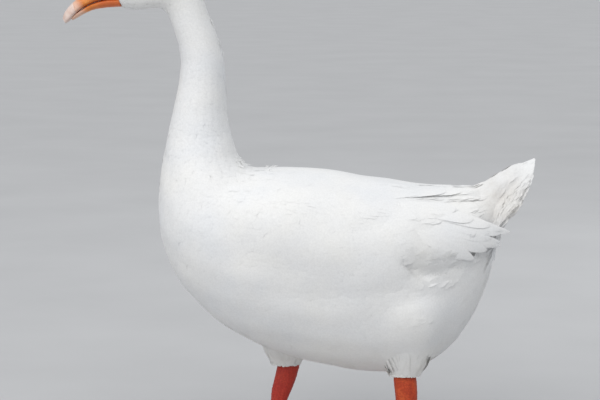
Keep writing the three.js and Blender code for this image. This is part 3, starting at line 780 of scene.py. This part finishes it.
def body_coat(body):
    for name, first, last, rows in COAT_PIECES:
        keep = lambda u: (stations_of(u) >= first) & (stations_of(u) < last)
        u, v = body.scatter(lambda u: coat_size("spacing", u), keep)
        place = body.read("points", u, v)
        seen = np.hypot(place[:, 0] - EYE["x"] * MM, place[:, 2] - EYE["z"] * MM) > EYE["bare"] * MM
        u, v, place = u[seen], v[seen], place[seen]
        count = len(u)
        depth = coat_size("depth", u)
        to_end = np.linalg.norm(body.read("points", np.ones(count), v) - place, axis=-1)
        length = np.minimum(coat_size("length", u) * rng.uniform(0.85, 1.15, count), to_end + MM)
        on_ridge = smooth(stations_of(u), 22.8, 24.4) * (1 - smooth(np.abs(place[:, 1]), 0.002, 0.012))
        coat_piece(name, grow(
            body, u, v, length, coat_size("width", u) * rng.uniform(0.85, 1.15, count),
            root=-ROOT_DEPTH * depth, tip=rng.normal(0, 0.012, count) * depth, rows=rows,
            yaw=rng.normal(0, 0.1, count), thick=0.00012 + 0.018 * coat_size("spacing", u),
            camber=mix(0.06, 0.5, on_ridge), notch=0.14, settle=2.7,
        ))


# ---- skin and thighs ----

# The feathered thighs: hip and hock as x in the frame and distance from the midline, and the cuff's height.
THIGHS = {
    "left": {"side": 1, "hip": (-138.7, 71), "hock": (-139.7, 52), "cuff": 118},
    "right": {"side": -1, "hip": (3.3, 71), "hock": (21.3, 52), "cuff": 113},
}
THIGH_TOP = 205              # mm, inside the belly
THIGH_ROWS, THIGH_COLUMNS = 40, 60
THIGH_REACH = 0.09           # metres from the thigh's middle to where the rays start
THIGH_COAT = {"length": 15, "width": 7, "spacing": 3.4, "depth": 3, "least": 5}
# Wider feathers that come down from inside the belly to the cuff, in mm: how deep inside it their roots may
# be, how far the roots stand out at most and stay under its surface at least, the tips' lift, and, as a
# factor, how much wider they are.
SKIRT = {"shallowest": 4, "deepest": 20, "out": 9, "under": 1.2, "tip": 0.6, "width": 1.5}
SKIN_ROWS = 276              # how many of the body's rings the skin has; the rest is the tail's feathers


def thigh_surface(name):
    """The thigh as level rings from inside the flank to the cuff."""
    thigh = THIGHS[name]
    share = np.linspace(0, 1, THIGH_ROWS)
    z = mix(THIGH_TOP, thigh["cuff"] + 0.6, share)
    x = mix(thigh["hip"][0], thigh["hock"][0], smooth(share, 0, 1))
    y = mix(thigh["hip"][1], thigh["hock"][1], share) * thigh["side"]
    centre = (np.stack([x, y, z], -1) * MM)[:, None]
    angle = ring_angles(THIGH_COLUMNS)
    direction = np.stack([np.cos(angle), np.sin(angle), 0 * angle], -1)
    centres = np.broadcast_to(centre, (THIGH_ROWS, THIGH_COLUMNS, 3))
    directions = np.broadcast_to(direction[None], centres.shape)
    reach = np.full(centres.shape[:2], THIGH_REACH)
    radius = soften(cast_rings(tree_of("thigh_" + name), centres, directions, reach), 4)
    points = centres + directions * radius[..., None]
    return Surface(points, True, points - centre)


def thigh_coat(name, surface, body_tree):
    """The short feathers above the cuff, and wider ones that come down to it from inside the belly."""
    size = THIGH_COAT
    u, v = surface.scatter(lambda u: size["spacing"] * MM * mix(0.8, 0.6, smooth(u, 0.3, 1)))
    place, outward = surface.read("points", u, v), surface.read("normal", u, v)
    hidden = np.array([inside_depth(body_tree, p) for p in place])
    gap = np.array([body_tree.ray_cast(Vector(p), Vector(n))[3] or 1 for p, n in zip(place, outward)])
    flared = (hidden > SKIRT["shallowest"] * MM) & (hidden < SKIRT["deepest"] * MM)
    shown = flared | (hidden < size["least"] * MM)
    u, v, flared, hidden, gap = (values[shown] for values in (u, v, flared, hidden, gap))
    stand = np.minimum(np.minimum(gap - SKIRT["under"] * MM, 1.1 * hidden), SKIRT["out"] * MM)
    count = len(u)
    scale = mix(1.9, 0.8, smooth(u, 0.2, 1)) * rng.uniform(0.85, 1.15, count)
    left = (1 - u) * (THIGH_TOP - THIGHS[name]["cuff"]) * MM + rng.uniform(-0.001, 0.006, count)
    length = np.clip(size["length"] * MM * scale, 0.004, np.maximum(left, size["least"] * MM))
    length = np.where(flared, np.maximum(left * rng.uniform(0.5, 1, count), size["least"] * MM), length)
    coat_piece("coat_thigh_" + name, grow(
        surface, u, v, length, size["width"] * MM * np.where(flared, SKIRT["width"], scale),
        root=mix(-ROOT_DEPTH * size["depth"] * MM, stand, smooth(hidden, 0, SKIRT["shallowest"] * MM)),
        tip=rng.normal(-0.1, 0.25, count) * MM + flared * SKIRT["tip"] * MM, rows=7,
        yaw=rng.normal(0, 0.22, count), thick=0.00018, curl=rng.normal(0, 0.25, count), settle=1.3,
    ))


def tree_of_surface(surface):
    rows, cols = surface.points.shape[:2]
    return BVHTree.FromPolygons(surface.points.reshape(-1, 3).tolist(), tube_faces(rows, cols).tolist())


def inside_depth(tree, point):
    """How deep a point is inside a closed shape, or less than 0 outside it."""
    near, normal, _, distance = tree.find_nearest(Vector(point))
    return distance if (Vector(point) - near).dot(normal) < 0 else -distance


def evaluated(made):
    return made.evaluated_get(bpy.context.evaluated_depsgraph_get())


def make_skin(body, thighs):
    """One skin under the coat: the body and both thighs, drawn in by the coat's depth."""
    depth = coat_size("depth", np.linspace(0, 1, BODY_ROWS))[:, None, None]
    grids = [(body.points - body.normal * depth)[:SKIN_ROWS]]
    grids += [thigh.points - thigh.normal * THIGH_COAT["depth"] * MM for thigh in thighs.values()]
    skin, *others = [new_mesh("skin", *capped(grid)) for grid in grids]
    for other in others:
        modifier = skin.modifiers.new("union", "BOOLEAN")
        modifier.operation = "UNION"
        modifier.solver = "EXACT"
        modifier.object = other
    mesh = bpy.data.meshes.new_from_object(evaluated(skin))
    skin.modifiers.clear()
    skin.data = mesh
    for other in others:
        bpy.data.objects.remove(other)
    for polygon in mesh.polygons:
        polygon.use_smooth = True
    piece(skin, "plumage", "head", "neck_upper", "neck_lower", "trunk", "thigh_left", "thigh_right")


# ---- wings ----

WING_BOX = {"x": (0, -300), "z": (215, 372), "rows": 61, "cols": 33}
WING_FIT = {"x": (-272, -70), "z": (256, 350), "step": 6}
BESIDE = 0.3                 # metres to the bird's left from where rays look at the wing

# Flight feathers of the left wing, from the lowest outward: root x, z, tip x, z, width, lift of the root
# and of the tip over the wing. The upper ones lie over the lower ones.
FLIGHT = [
    (-134, 324, -215, 267.5, 20, -2, 2.4),
    (-140, 323, -222, 265, 18, -2, 3.4),
    (-150, 322, -229, 283, 18, -2, 2.6),
    (-156, 320, -241, 276.5, 18, -1.8, 3.4),
    (-160, 318, -252, 283, 16, -1.6, 3),
    (-164, 316, -260, 281, 14, -1.5, 3),
    (-166, 318, -261, 286, 14, -1.4, 3),
    (-152, 327, -248, 292, 18, -1.4, 3.4),
    (-150, 333, -246, 300, 17, -1, 3.6),
    (-152, 333, -260, 295, 15, -0.8, 3.8),
    (-154, 335, -273.5, 293, 14, -0.5, 4),
    (-150, 338, -263, 301, 16, 0, 4.4),
    (-146, 341, -248, 311, 19, 0, 4.8),
    (-140, 344, -226, 322, 21, -0.2, 5),
    (-130, 347, -204, 336, 22, -0.4, 4.8),
]


def cubic_terms(x, z):
    x, z = (x + 170) / 100, (z - 300) / 50
    return np.stack([x**i * z**j for i in range(4) for j in range(4 - i)], -1)


def wing_surface():
    """The outer side of the folded left wing as a sheet, u running back and v up, y a cubic of x and z."""
    tree = tree_of("wing_left")
    found = []
    for x in np.arange(*WING_FIT["x"], WING_FIT["step"]):
        for z in np.arange(*WING_FIT["z"], WING_FIT["step"]):
            hit = tree.ray_cast(Vector((x * MM, BESIDE, z * MM)), Vector((0, -1, 0)))
            if hit[0] is not None:
                found.append((x, z, hit[0].y))
    x, z, y = np.array(found).T
    weights = np.linalg.lstsq(cubic_terms(x, z), y, rcond=None)[0]
    xs = np.linspace(*WING_BOX["x"], WING_BOX["rows"])
    zs = np.linspace(*WING_BOX["z"], WING_BOX["cols"])
    x, z = np.meshgrid(xs, zs, indexing="ij")
    return Surface(np.stack([x * MM, cubic_terms(x, z) @ weights, z * MM], -1), False, np.array([0, 1, 0]))


def on_wing(x, z):
    """The u and v of places on the wing's sheet, which is even in x and z."""
    (x0, x1), (z0, z1) = WING_BOX["x"], WING_BOX["z"]
    return (x - x0) / (x1 - x0), (z - z0) / (z1 - z0)


def wing_feathers(wing):
    x, z, tip_x, tip_z, width, root, tip = np.array(FLIGHT, float).T
    left = long_feathers(
        wing, on_wing(x, z), on_wing(tip_x, tip_z), width * MM, root * MM, tip * MM, 26,
        thick=0.0011, camber=0.1, lean=0.8,
    )
    coat_piece("wing_feathers_left", left, "wing_left")
    coat_piece("wing_feathers_right", mirrored(left), "wing_right")


# ---- back and tail ----

# Long back feathers on the left, outer ones last: root x, z, tip x, z, width and lift of the tip, in mm.
BACK = [
    (-104, 360, -172, 357, 23, 0.5),
    (-126, 359.5, -196, 356.5, 22, 1.8),
    (-148, 359, -218, 356, 20, 1.8),
    (-168, 359, -238, 356.5, 19, 0.9),
]
# The tail's fan: ridge x, z, lowest edge x, z and half width. Its edge is drawn in a little from the CAD's.
TAIL = [
    (-158, 360.5, -196, 262, 38),
    (-178, 363, -212, 282, 40),
    (-204, 374, -218, 302, 42),
    (-226, 386, -228, 325, 42),
    (-243, 393.5, -237, 348, 39),
    (-254, 397.8, -246, 369, 32),
    (-261, 400.5, -265.5, 385, 20),
]
TAIL_DROOP = 1.6             # how fast the fan falls from its ridge to its edges
# The fan's feathers: u of the roots, their spread in v, sizes in mm in the middle and at the edges of the
# fan, and how deep the roots are, in metres.
RECTRICES = {"count": 18, "start": 0.25, "spread": 0.38, "depth": 0.014}
FAN_LENGTH, FAN_WIDTH, FAN_LIFT = (73, 81), (17, 13), (-0.3, -0.8)
# Coverts under the fan: body stations of the roots, where the last tip may be, and sizes in metres.
COVERTS = {"count": 420, "stations": (24.9, 28.3), "last": 28.9, "spread": 0.2}
COVERT_LENGTH, COVERT_WIDTH, COVERT_LIFT = (0.008, 0.028), (0.005, 0.009), 0.0014

# Frizzy tufts: x, z, spread over the surface, count, length and how far they stand out.
FRIZZ = [
    (84, 400, 8, 40, 11, 2.6),
    (46, 386, 5, 22, 8, 3.4),
    (99, 560, 7, 22, 9, 2.6),
    (112, 590, 7, 18, 8, 2.2),
]


def place_on(body, x, z):
    """The u and v of the point on the bird's left that is seen at x and z, in frame mm."""
    away = np.hypot(body.points[..., 0] / MM - x, body.points[..., 2] / MM - z)
    away = np.where(body.points[..., 1] > 0, away, np.inf)
    row, col = np.unravel_index(away.argmin(), away.shape)
    return row / (BODY_ROWS - 1), col / BODY_COLUMNS


def back_feathers(body):
    """Long feathers of the back, which lie over the upper edge of each wing."""
    rows = np.array(BACK, float)
    start, end = (np.array([place_on(body, *place) for place in rows[:, k:k + 2]]).T for k in (0, 2))
    left = long_feathers(
        body, start, end, rows[:, 4] * MM, -0.002, rows[:, 5] * MM, 20,
        thick=0.0009, camber=0.05, settle=2, bank=0.14,
    )
    coat_piece("back_feathers", joined(left, mirrored(left)))


def tail_surface():
    """The upper side of the tail's fan, u running back and v from the right to the left."""
    v = np.linspace(-1, 1, 41)
    x, z, edge_x, edge_z, half = through(TAIL, np.linspace(0, len(TAIL) - 1, 61)).T[..., None]
    share = np.abs(v) ** TAIL_DROOP
    points = np.stack([mix(x, edge_x, share) + SHIFT, v * half, mix(z, edge_z, share)], -1) * MM
    return Surface(points, False, np.array([0, 0, 1]))


def tail_feathers(fan):
    count = RECTRICES["count"]
    across = (np.arange(count) + 0.5) / count * 2 - 1
    outer = np.abs(across)
    length = mix(*FAN_LENGTH, outer**1.5) * MM + rng.normal(0, 0.001, count)
    lift = mix(*FAN_LIFT, outer) * MM
    coat_piece("tail_feathers", grow(
        fan, np.full(count, RECTRICES["start"]), 0.5 + across * RECTRICES["spread"], length,
        mix(*FAN_WIDTH, outer) * MM, root=lift - RECTRICES["depth"], tip=lift, rows=24,
        shape=flight_shape, thick=0.0009, notch=0.1, sweep=0.4, yaw=rng.normal(0, 0.02, count),
    ), "tail")


def tail_coverts(body):
    """Loose feathers under the fan, shorter towards its end."""
    count = COVERTS["count"]
    first, last = COVERTS["stations"]
    station = mix(first, last, np.sort(rng.uniform(0, 1, count))[::-1])
    u = (station - FIRST) / (LAST - FIRST)
    v = 0.5 + rng.uniform(-1, 1, count) * COVERTS["spread"]
    length = mix(*COVERT_LENGTH, (COVERTS["last"] - station) / (COVERTS["last"] - first))
    coat_piece("tail_coverts", grow(
        body, u, v, length * rng.uniform(0.8, 1.2, count), rng.uniform(*COVERT_WIDTH, count),
        root=-MM, tip=rng.uniform(0, COVERT_LIFT, count), rows=9, yaw=rng.normal(0, 0.2, count),
        shape=wisp_shape, notch=0.35, curl=rng.normal(0, 0.2, count),
    ))


def frizz(body):
    """Small loose tufts where the neck meets the back and down the back of the neck."""
    parts = []
    for x, z, spread, count, length, lift in FRIZZ:
        u, v = place_on(body, x, z)
        side = np.where(rng.uniform(size=count) < 0.5, v, 1 - v)
        parts.append(grow(
            body, u + rng.normal(0, spread, count) * MM, side + rng.normal(0, 1.5 * spread, count) * MM,
            rng.uniform(0.7, 1.2, count) * length * MM, rng.uniform(0.2, 0.35, count) * length * MM,
            root=-0.001, tip=rng.uniform(0.3, 1, count) * lift * MM, rows=7, yaw=rng.normal(0, 0.5, count),
            shape=wisp_shape, thick=0.0003, notch=0.5, curl=rng.normal(0, 0.8, count),
        ))
    coat_piece("coat_frizz", joined(*parts))


# ---- bill ----

# Bill stations as in the CAD: dorsal x, z, ventral x, z, half width.
UPPER_BILL = [
    (305, 640, 295.6, 615, 14.6),
    (324, 631, 312, 614.2, 14.4),
    (340, 622.9, 330, 609.2, 13.4),
    (352, 614.2, 345, 601.2, 12.4),
    (361, 605.8, 355, 592.8, 11.2),
    (368, 597, 362, 585.2, 9),
    (371, 588.6, 367, 582, 5),
]
LOWER_BILL = [
    (295.6, 614.7, 291.8, 604.2, 12.6),
    (314, 613.6, 312, 603, 12.2),
    (331, 608.6, 329, 600.2, 11.2),
    (344, 601.4, 341, 595.2, 10),
    (355, 593.8, 351.5, 589.4, 8.2),
    (359.5, 589.8, 357.5, 586.2, 5.2),
]
UPPER_LEVEL, LOWER_LEVEL, BILL_SQUARE = 0.28, 0.7, 2.1
BILL_SIDES = 96
NAIL_START, NAIL_END = 3.5, 5.985   # bill stations of the pale nail
BILL_CLOSE = 0.12            # how far the upper bill's first ring is drawn together, inside the face
NOSTRIL = {"x": 326, "z": 622.5, "length": 6, "height": 2.1, "depth": 2.2, "tilt": -0.3, "beside": 4}
LAMELLAE = {"angle": 1.12, "width": 0.2, "height": 0.16, "spacing": 2.1}   # ridges at the upper bill's edge


def powered(value, exponent):
    return np.sign(value) * np.abs(value) ** exponent


def bill_rings(table, level, t, angle):
    """Points of the bill at each station and angle, in frame millimetres, and their outward normals."""
    rows = through(table, t)
    low = np.stack([rows[..., 2] + SHIFT, 0 * rows[..., 0], rows[..., 3]], -1)
    up = np.stack([rows[..., 0] + SHIFT, 0 * rows[..., 0], rows[..., 1]], -1) - low
    depth = np.linalg.norm(up, axis=-1)
    exponent = 2 / BILL_SQUARE
    rise = powered(np.cos(angle), exponent)
    widest = level * depth
    height = widest + rise * np.where(rise > 0, depth - widest, widest)
    points = low + unit(up) * height[..., None]
    points[..., 1] = powered(np.sin(angle), exponent) * rows[..., 4]
    across = np.roll(points, -1, 1) - np.roll(points, 1, 1)
    normal = unit(np.cross(np.gradient(points, axis=0), across))
    inside = points.mean(1, keepdims=True)
    return points, normal * np.sign((normal * (points - inside)).sum(-1).mean())


def bill_piece(name, points, normal, relief, slot, node, close=0):
    """A solid from rings and their relief. close draws the first ring together."""
    points = points + normal * relief[..., None]
    points[0] += (points[0].mean(0) - points[0]) * close
    piece(new_mesh(name, *capped(points * MM)), slot, node)


def make_upper_bill():
    t, angle = ring_grid(0, NAIL_START + 0.7, 110, BILL_SIDES)
    points, normal = bill_rings(UPPER_BILL, UPPER_LEVEL, t, angle)
    x, z = points[..., 0] - SHIFT - NOSTRIL["x"], points[..., 2] - NOSTRIL["z"]
    c, s = math.cos(NOSTRIL["tilt"]), math.sin(NOSTRIL["tilt"])
    away = np.hypot((x * c + z * s) / NOSTRIL["length"], (z * c - x * s) / NOSTRIL["height"])
    away = np.where(np.abs(points[..., 1]) > NOSTRIL["beside"], away, np.inf)
    relief = 0.45 * np.exp(-((away - 1.35) / 0.4) ** 2) - NOSTRIL["depth"] * (1 - smooth(away, 0.35, 1))
    relief += 0.13 * wave(points, 7, 1) + 0.07 * wave(points, 2.5, 2)
    from_edge = angle - math.pi + np.sign(math.pi - angle) * LAMELLAE["angle"]
    ridges = np.sin(points[..., 0] * 2 * math.pi / LAMELLAE["spacing"])
    relief += LAMELLAE["height"] * np.exp(-(from_edge / LAMELLAE["width"]) ** 2) * ridges
    relief -= 0.3 * smooth(t, NAIL_START - 0.02, NAIL_START + 0.1)
    bill_piece("bill_top", points, normal, relief, "bill", "bill_upper", BILL_CLOSE)


def make_lower_bill():
    t, angle = ring_grid(0, len(LOWER_BILL) - 1.01, 80, BILL_SIDES)
    points, normal = bill_rings(LOWER_BILL, LOWER_LEVEL, t, angle)
    groove = 0.4 * np.exp(-((angle - math.pi) / 0.12) ** 2)
    relief = 0.1 * wave(points, 6, 3) + 0.05 * wave(points, 2.5, 4) - groove
    bill_piece("bill_under", points, normal, relief, "bill", "bill_lower")


def make_nail():
    share, angle = ring_grid(0, 1, 56, BILL_SIDES)
    t = mix(NAIL_START + 0.1 - 0.16 * np.cos(angle) ** 2, NAIL_END, share)
    points, normal = bill_rings(UPPER_BILL, UPPER_LEVEL, t, angle)
    relief = mix(-0.5, 0.22, smooth(share, 0, 0.05)) + 0.07 * wave(points, 6, 5) + 0.05 * np.sin(t * 22)
    bill_piece("bill_tip", points, normal, relief, "nail", "bill_nail")


# ---- eyes ----

# The eyelid's section from its outer rim to its inner one: distance from the eye's middle and rise, in mm.
LID = [(8.2, -1.5), (7.4, -0.55), (6.7, 0.3), (6.2, 0.75), (5.75, 0.95), (5.35, 0.75), (5.1, 0.2), (5, -0.6)]
CORNEA = {"rise": 0.035, "reach": 0.55}   # share of the ball's radius, and angle from its middle


def make_eyes():
    for name, side in (("left", 1), ("right", -1)):
        low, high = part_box("eye_" + name)
        centre = np.array((low + high) / 2)
        down, angle = ring_grid(0.02, math.pi - 0.02, 33, 48)
        cornea = 1 + CORNEA["rise"] * np.exp(-(down / CORNEA["reach"]) ** 2)
        flat = np.sin(down)
        ball = np.stack([flat * np.cos(angle), side * np.cos(down), flat * np.sin(angle)], -1)
        points = centre + ball * (EYE["radius"] * cornea * MM)[..., None]
        piece(new_mesh("eyeball_" + name, *capped(points)), "eye", "eye_" + name)

        k, angle = ring_grid(0, len(LID) - 1, 26, 72)
        section = through(LID, k[:, 0])[:, None]
        radius = section[..., 0] * (1 + 0.09 * np.cos(2 * angle) + 0.05 * np.cos(angle) ** 9)
        fold = 0.1 * np.sin(angle * 17) * band(k, 1, 3, 4, 5) + 0.12 * np.sin(k * 3.4)
        height = EYE["radius"] - EYE["bulge"] + section[..., 1] + fold
        x, z = radius * np.cos(angle), radius * np.sin(angle)
        y = side * (height - 0.012 * z * np.abs(z))
        piece(new_mesh("eyelid_" + name, *capped(centre + np.stack([x, y, z], -1) * MM)), "bill")


# ---- legs ----

LEG_VOXEL, CLAW_VOXEL = 0.95, 0.4   # mm
LEG_PASSES, CLAW_PASSES = 9, 6      # of relaxed
PULLS = (0.55, -0.57)               # one pass draws points to their neighbours, and then back out
# The scales of the shank and the toes, and the finer grain of the webs: size and height in mm.
SCUTES = {"size": 3.4, "seed": 5, "groove": 0.3, "height": 0.28}
WEB_GRAIN = {"size": 1.9, "seed": 6, "groove": 0.35, "height": 0.16}
SCUTE_STRETCH = np.array([1, 1, 0.8])
# Period in metres and height in mm.
CLAW_GRAIN = {"period": 0.0035, "seed": 9, "height": 0.05}
# Heights in metres: where the webs' grain fades out, where relief starts over the flat sole, and the sole.
WEB_FADE, RELIEF_START, SOLE = (0.006, 0.012), (0.0008, 0.003), 0.0007


def voxels(nodes, size):
    """The union of CAD nodes as an even skin of small quads: its vertices and faces."""
    vertices, faces = node_mesh(nodes)
    mesh = bpy.data.meshes.new("voxels")
    mesh.from_pydata(vertices, [], faces)
    made = new_object("voxels", mesh)
    modifier = made.modifiers.new("remesh", "REMESH")
    modifier.mode = "VOXEL"
    modifier.voxel_size = size * MM
    done = evaluated(made).to_mesh()
    points = np.empty(len(done.vertices) * 3)
    done.vertices.foreach_get("co", points)
    corners = np.empty(len(done.loops), np.int32)
    done.loops.foreach_get("vertex_index", corners)
    bpy.data.objects.remove(made)
    return points.reshape(-1, 3), corners.reshape(-1, 4)


def summed(corners, values, count):
    """The sum of the rows of values that belong to each corner's point."""
    return np.stack([np.bincount(corners, values[:, k], count) for k in range(3)], -1)


def relaxed(points, quads, passes):
    """Taubin smoothing, which takes facets away without shrinking the shape, and the normals after it."""
    a, b = quads.ravel(), np.roll(quads, -1, axis=1).ravel()
    ends, others = np.concatenate([a, b]), np.concatenate([b, a])
    degree = np.bincount(ends, minlength=len(points))[:, None]
    for pull in PULLS * passes:
        points = points + (summed(ends, points[others], len(points)) / degree - points) * pull
    a, b, c, d = (points[quads[:, i]] for i in range(4))
    face = np.cross(c - a, d - b)
    return points, unit(summed(quads.ravel(), np.repeat(face, 4, axis=0), len(points)))


def scales(points, size, seed, groove, height):
    """A relief of random cells of a size, with soft grooves between them."""
    jitter = np.random.default_rng(seed).uniform(0, 1, (32, 32, 32, 3))
    at = points / size
    base = np.floor(at).astype(int)
    nearest, second = np.full((2, len(points)), 9.0)
    for step in np.ndindex(3, 3, 3):
        cell = base + np.array(step) - 1
        away = np.linalg.norm(cell + jitter[tuple((cell % 32).T)] - at, axis=1)
        second = np.where(away < nearest, nearest, np.minimum(second, away))
        nearest = np.minimum(nearest, away)
    return smooth(second - nearest, 0, groove) * height


def make_legs():
    for name in ("left", "right"):
        nodes = ("shank_" + name, "foot_" + name)
        points, quads = voxels(nodes, LEG_VOXEL)
        points, normal = relaxed(points, quads, LEG_PASSES)
        z = points[:, 2]
        web = np.abs(normal[:, 2]) * (1 - smooth(z, *WEB_FADE))
        relief = mix(scales(points / MM * SCUTE_STRETCH, **SCUTES), scales(points / MM, **WEB_GRAIN), web)
        points = points + normal * (relief * smooth(z, *RELIEF_START) * MM)[:, None]
        points[:, 2] = np.where(points[:, 2] < SOLE, 0, points[:, 2])
        piece(new_mesh("leg_" + name, points, [quads], sharp=math.pi), "leg_skin", *nodes)


def make_claws():
    for name in [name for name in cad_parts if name.startswith("claw")]:
        points, quads = voxels([name], CLAW_VOXEL)
        points, normal = relaxed(points, quads, CLAW_PASSES)
        grain = CLAW_GRAIN["height"] * wave(points, CLAW_GRAIN["period"], CLAW_GRAIN["seed"])
        points = points + normal * (grain * MM)[:, None]
        points[:, 2] = np.maximum(points[:, 2], 0)
        piece(new_mesh(name.replace("claw", "toenail"), points, [quads], sharp=math.pi), "claw", name)


# ---- assembly ----

make_camera()
make_light()
make_floor()
MATERIALS["plumage"] = plumage_material()
MATERIALS["bill"] = bill_material()
MATERIALS["nail"] = nail_material()
MATERIALS["eye"] = eye_material()
MATERIALS["leg_skin"] = leg_material()
MATERIALS["claw"] = claw_material()
body = body_surface()
thighs = {name: thigh_surface(name) for name in THIGHS}
make_skin(body, thighs)
body_coat(body)
body_tree = tree_of_surface(body)
for name, thigh in thighs.items():
    thigh_coat(name, thigh, body_tree)
wing_feathers(wing_surface())
back_feathers(body)
tail_feathers(tail_surface())
tail_coverts(body)
frizz(body)
make_upper_bill()
make_lower_bill()
make_nail()
make_eyes()
make_legs()
make_claws()
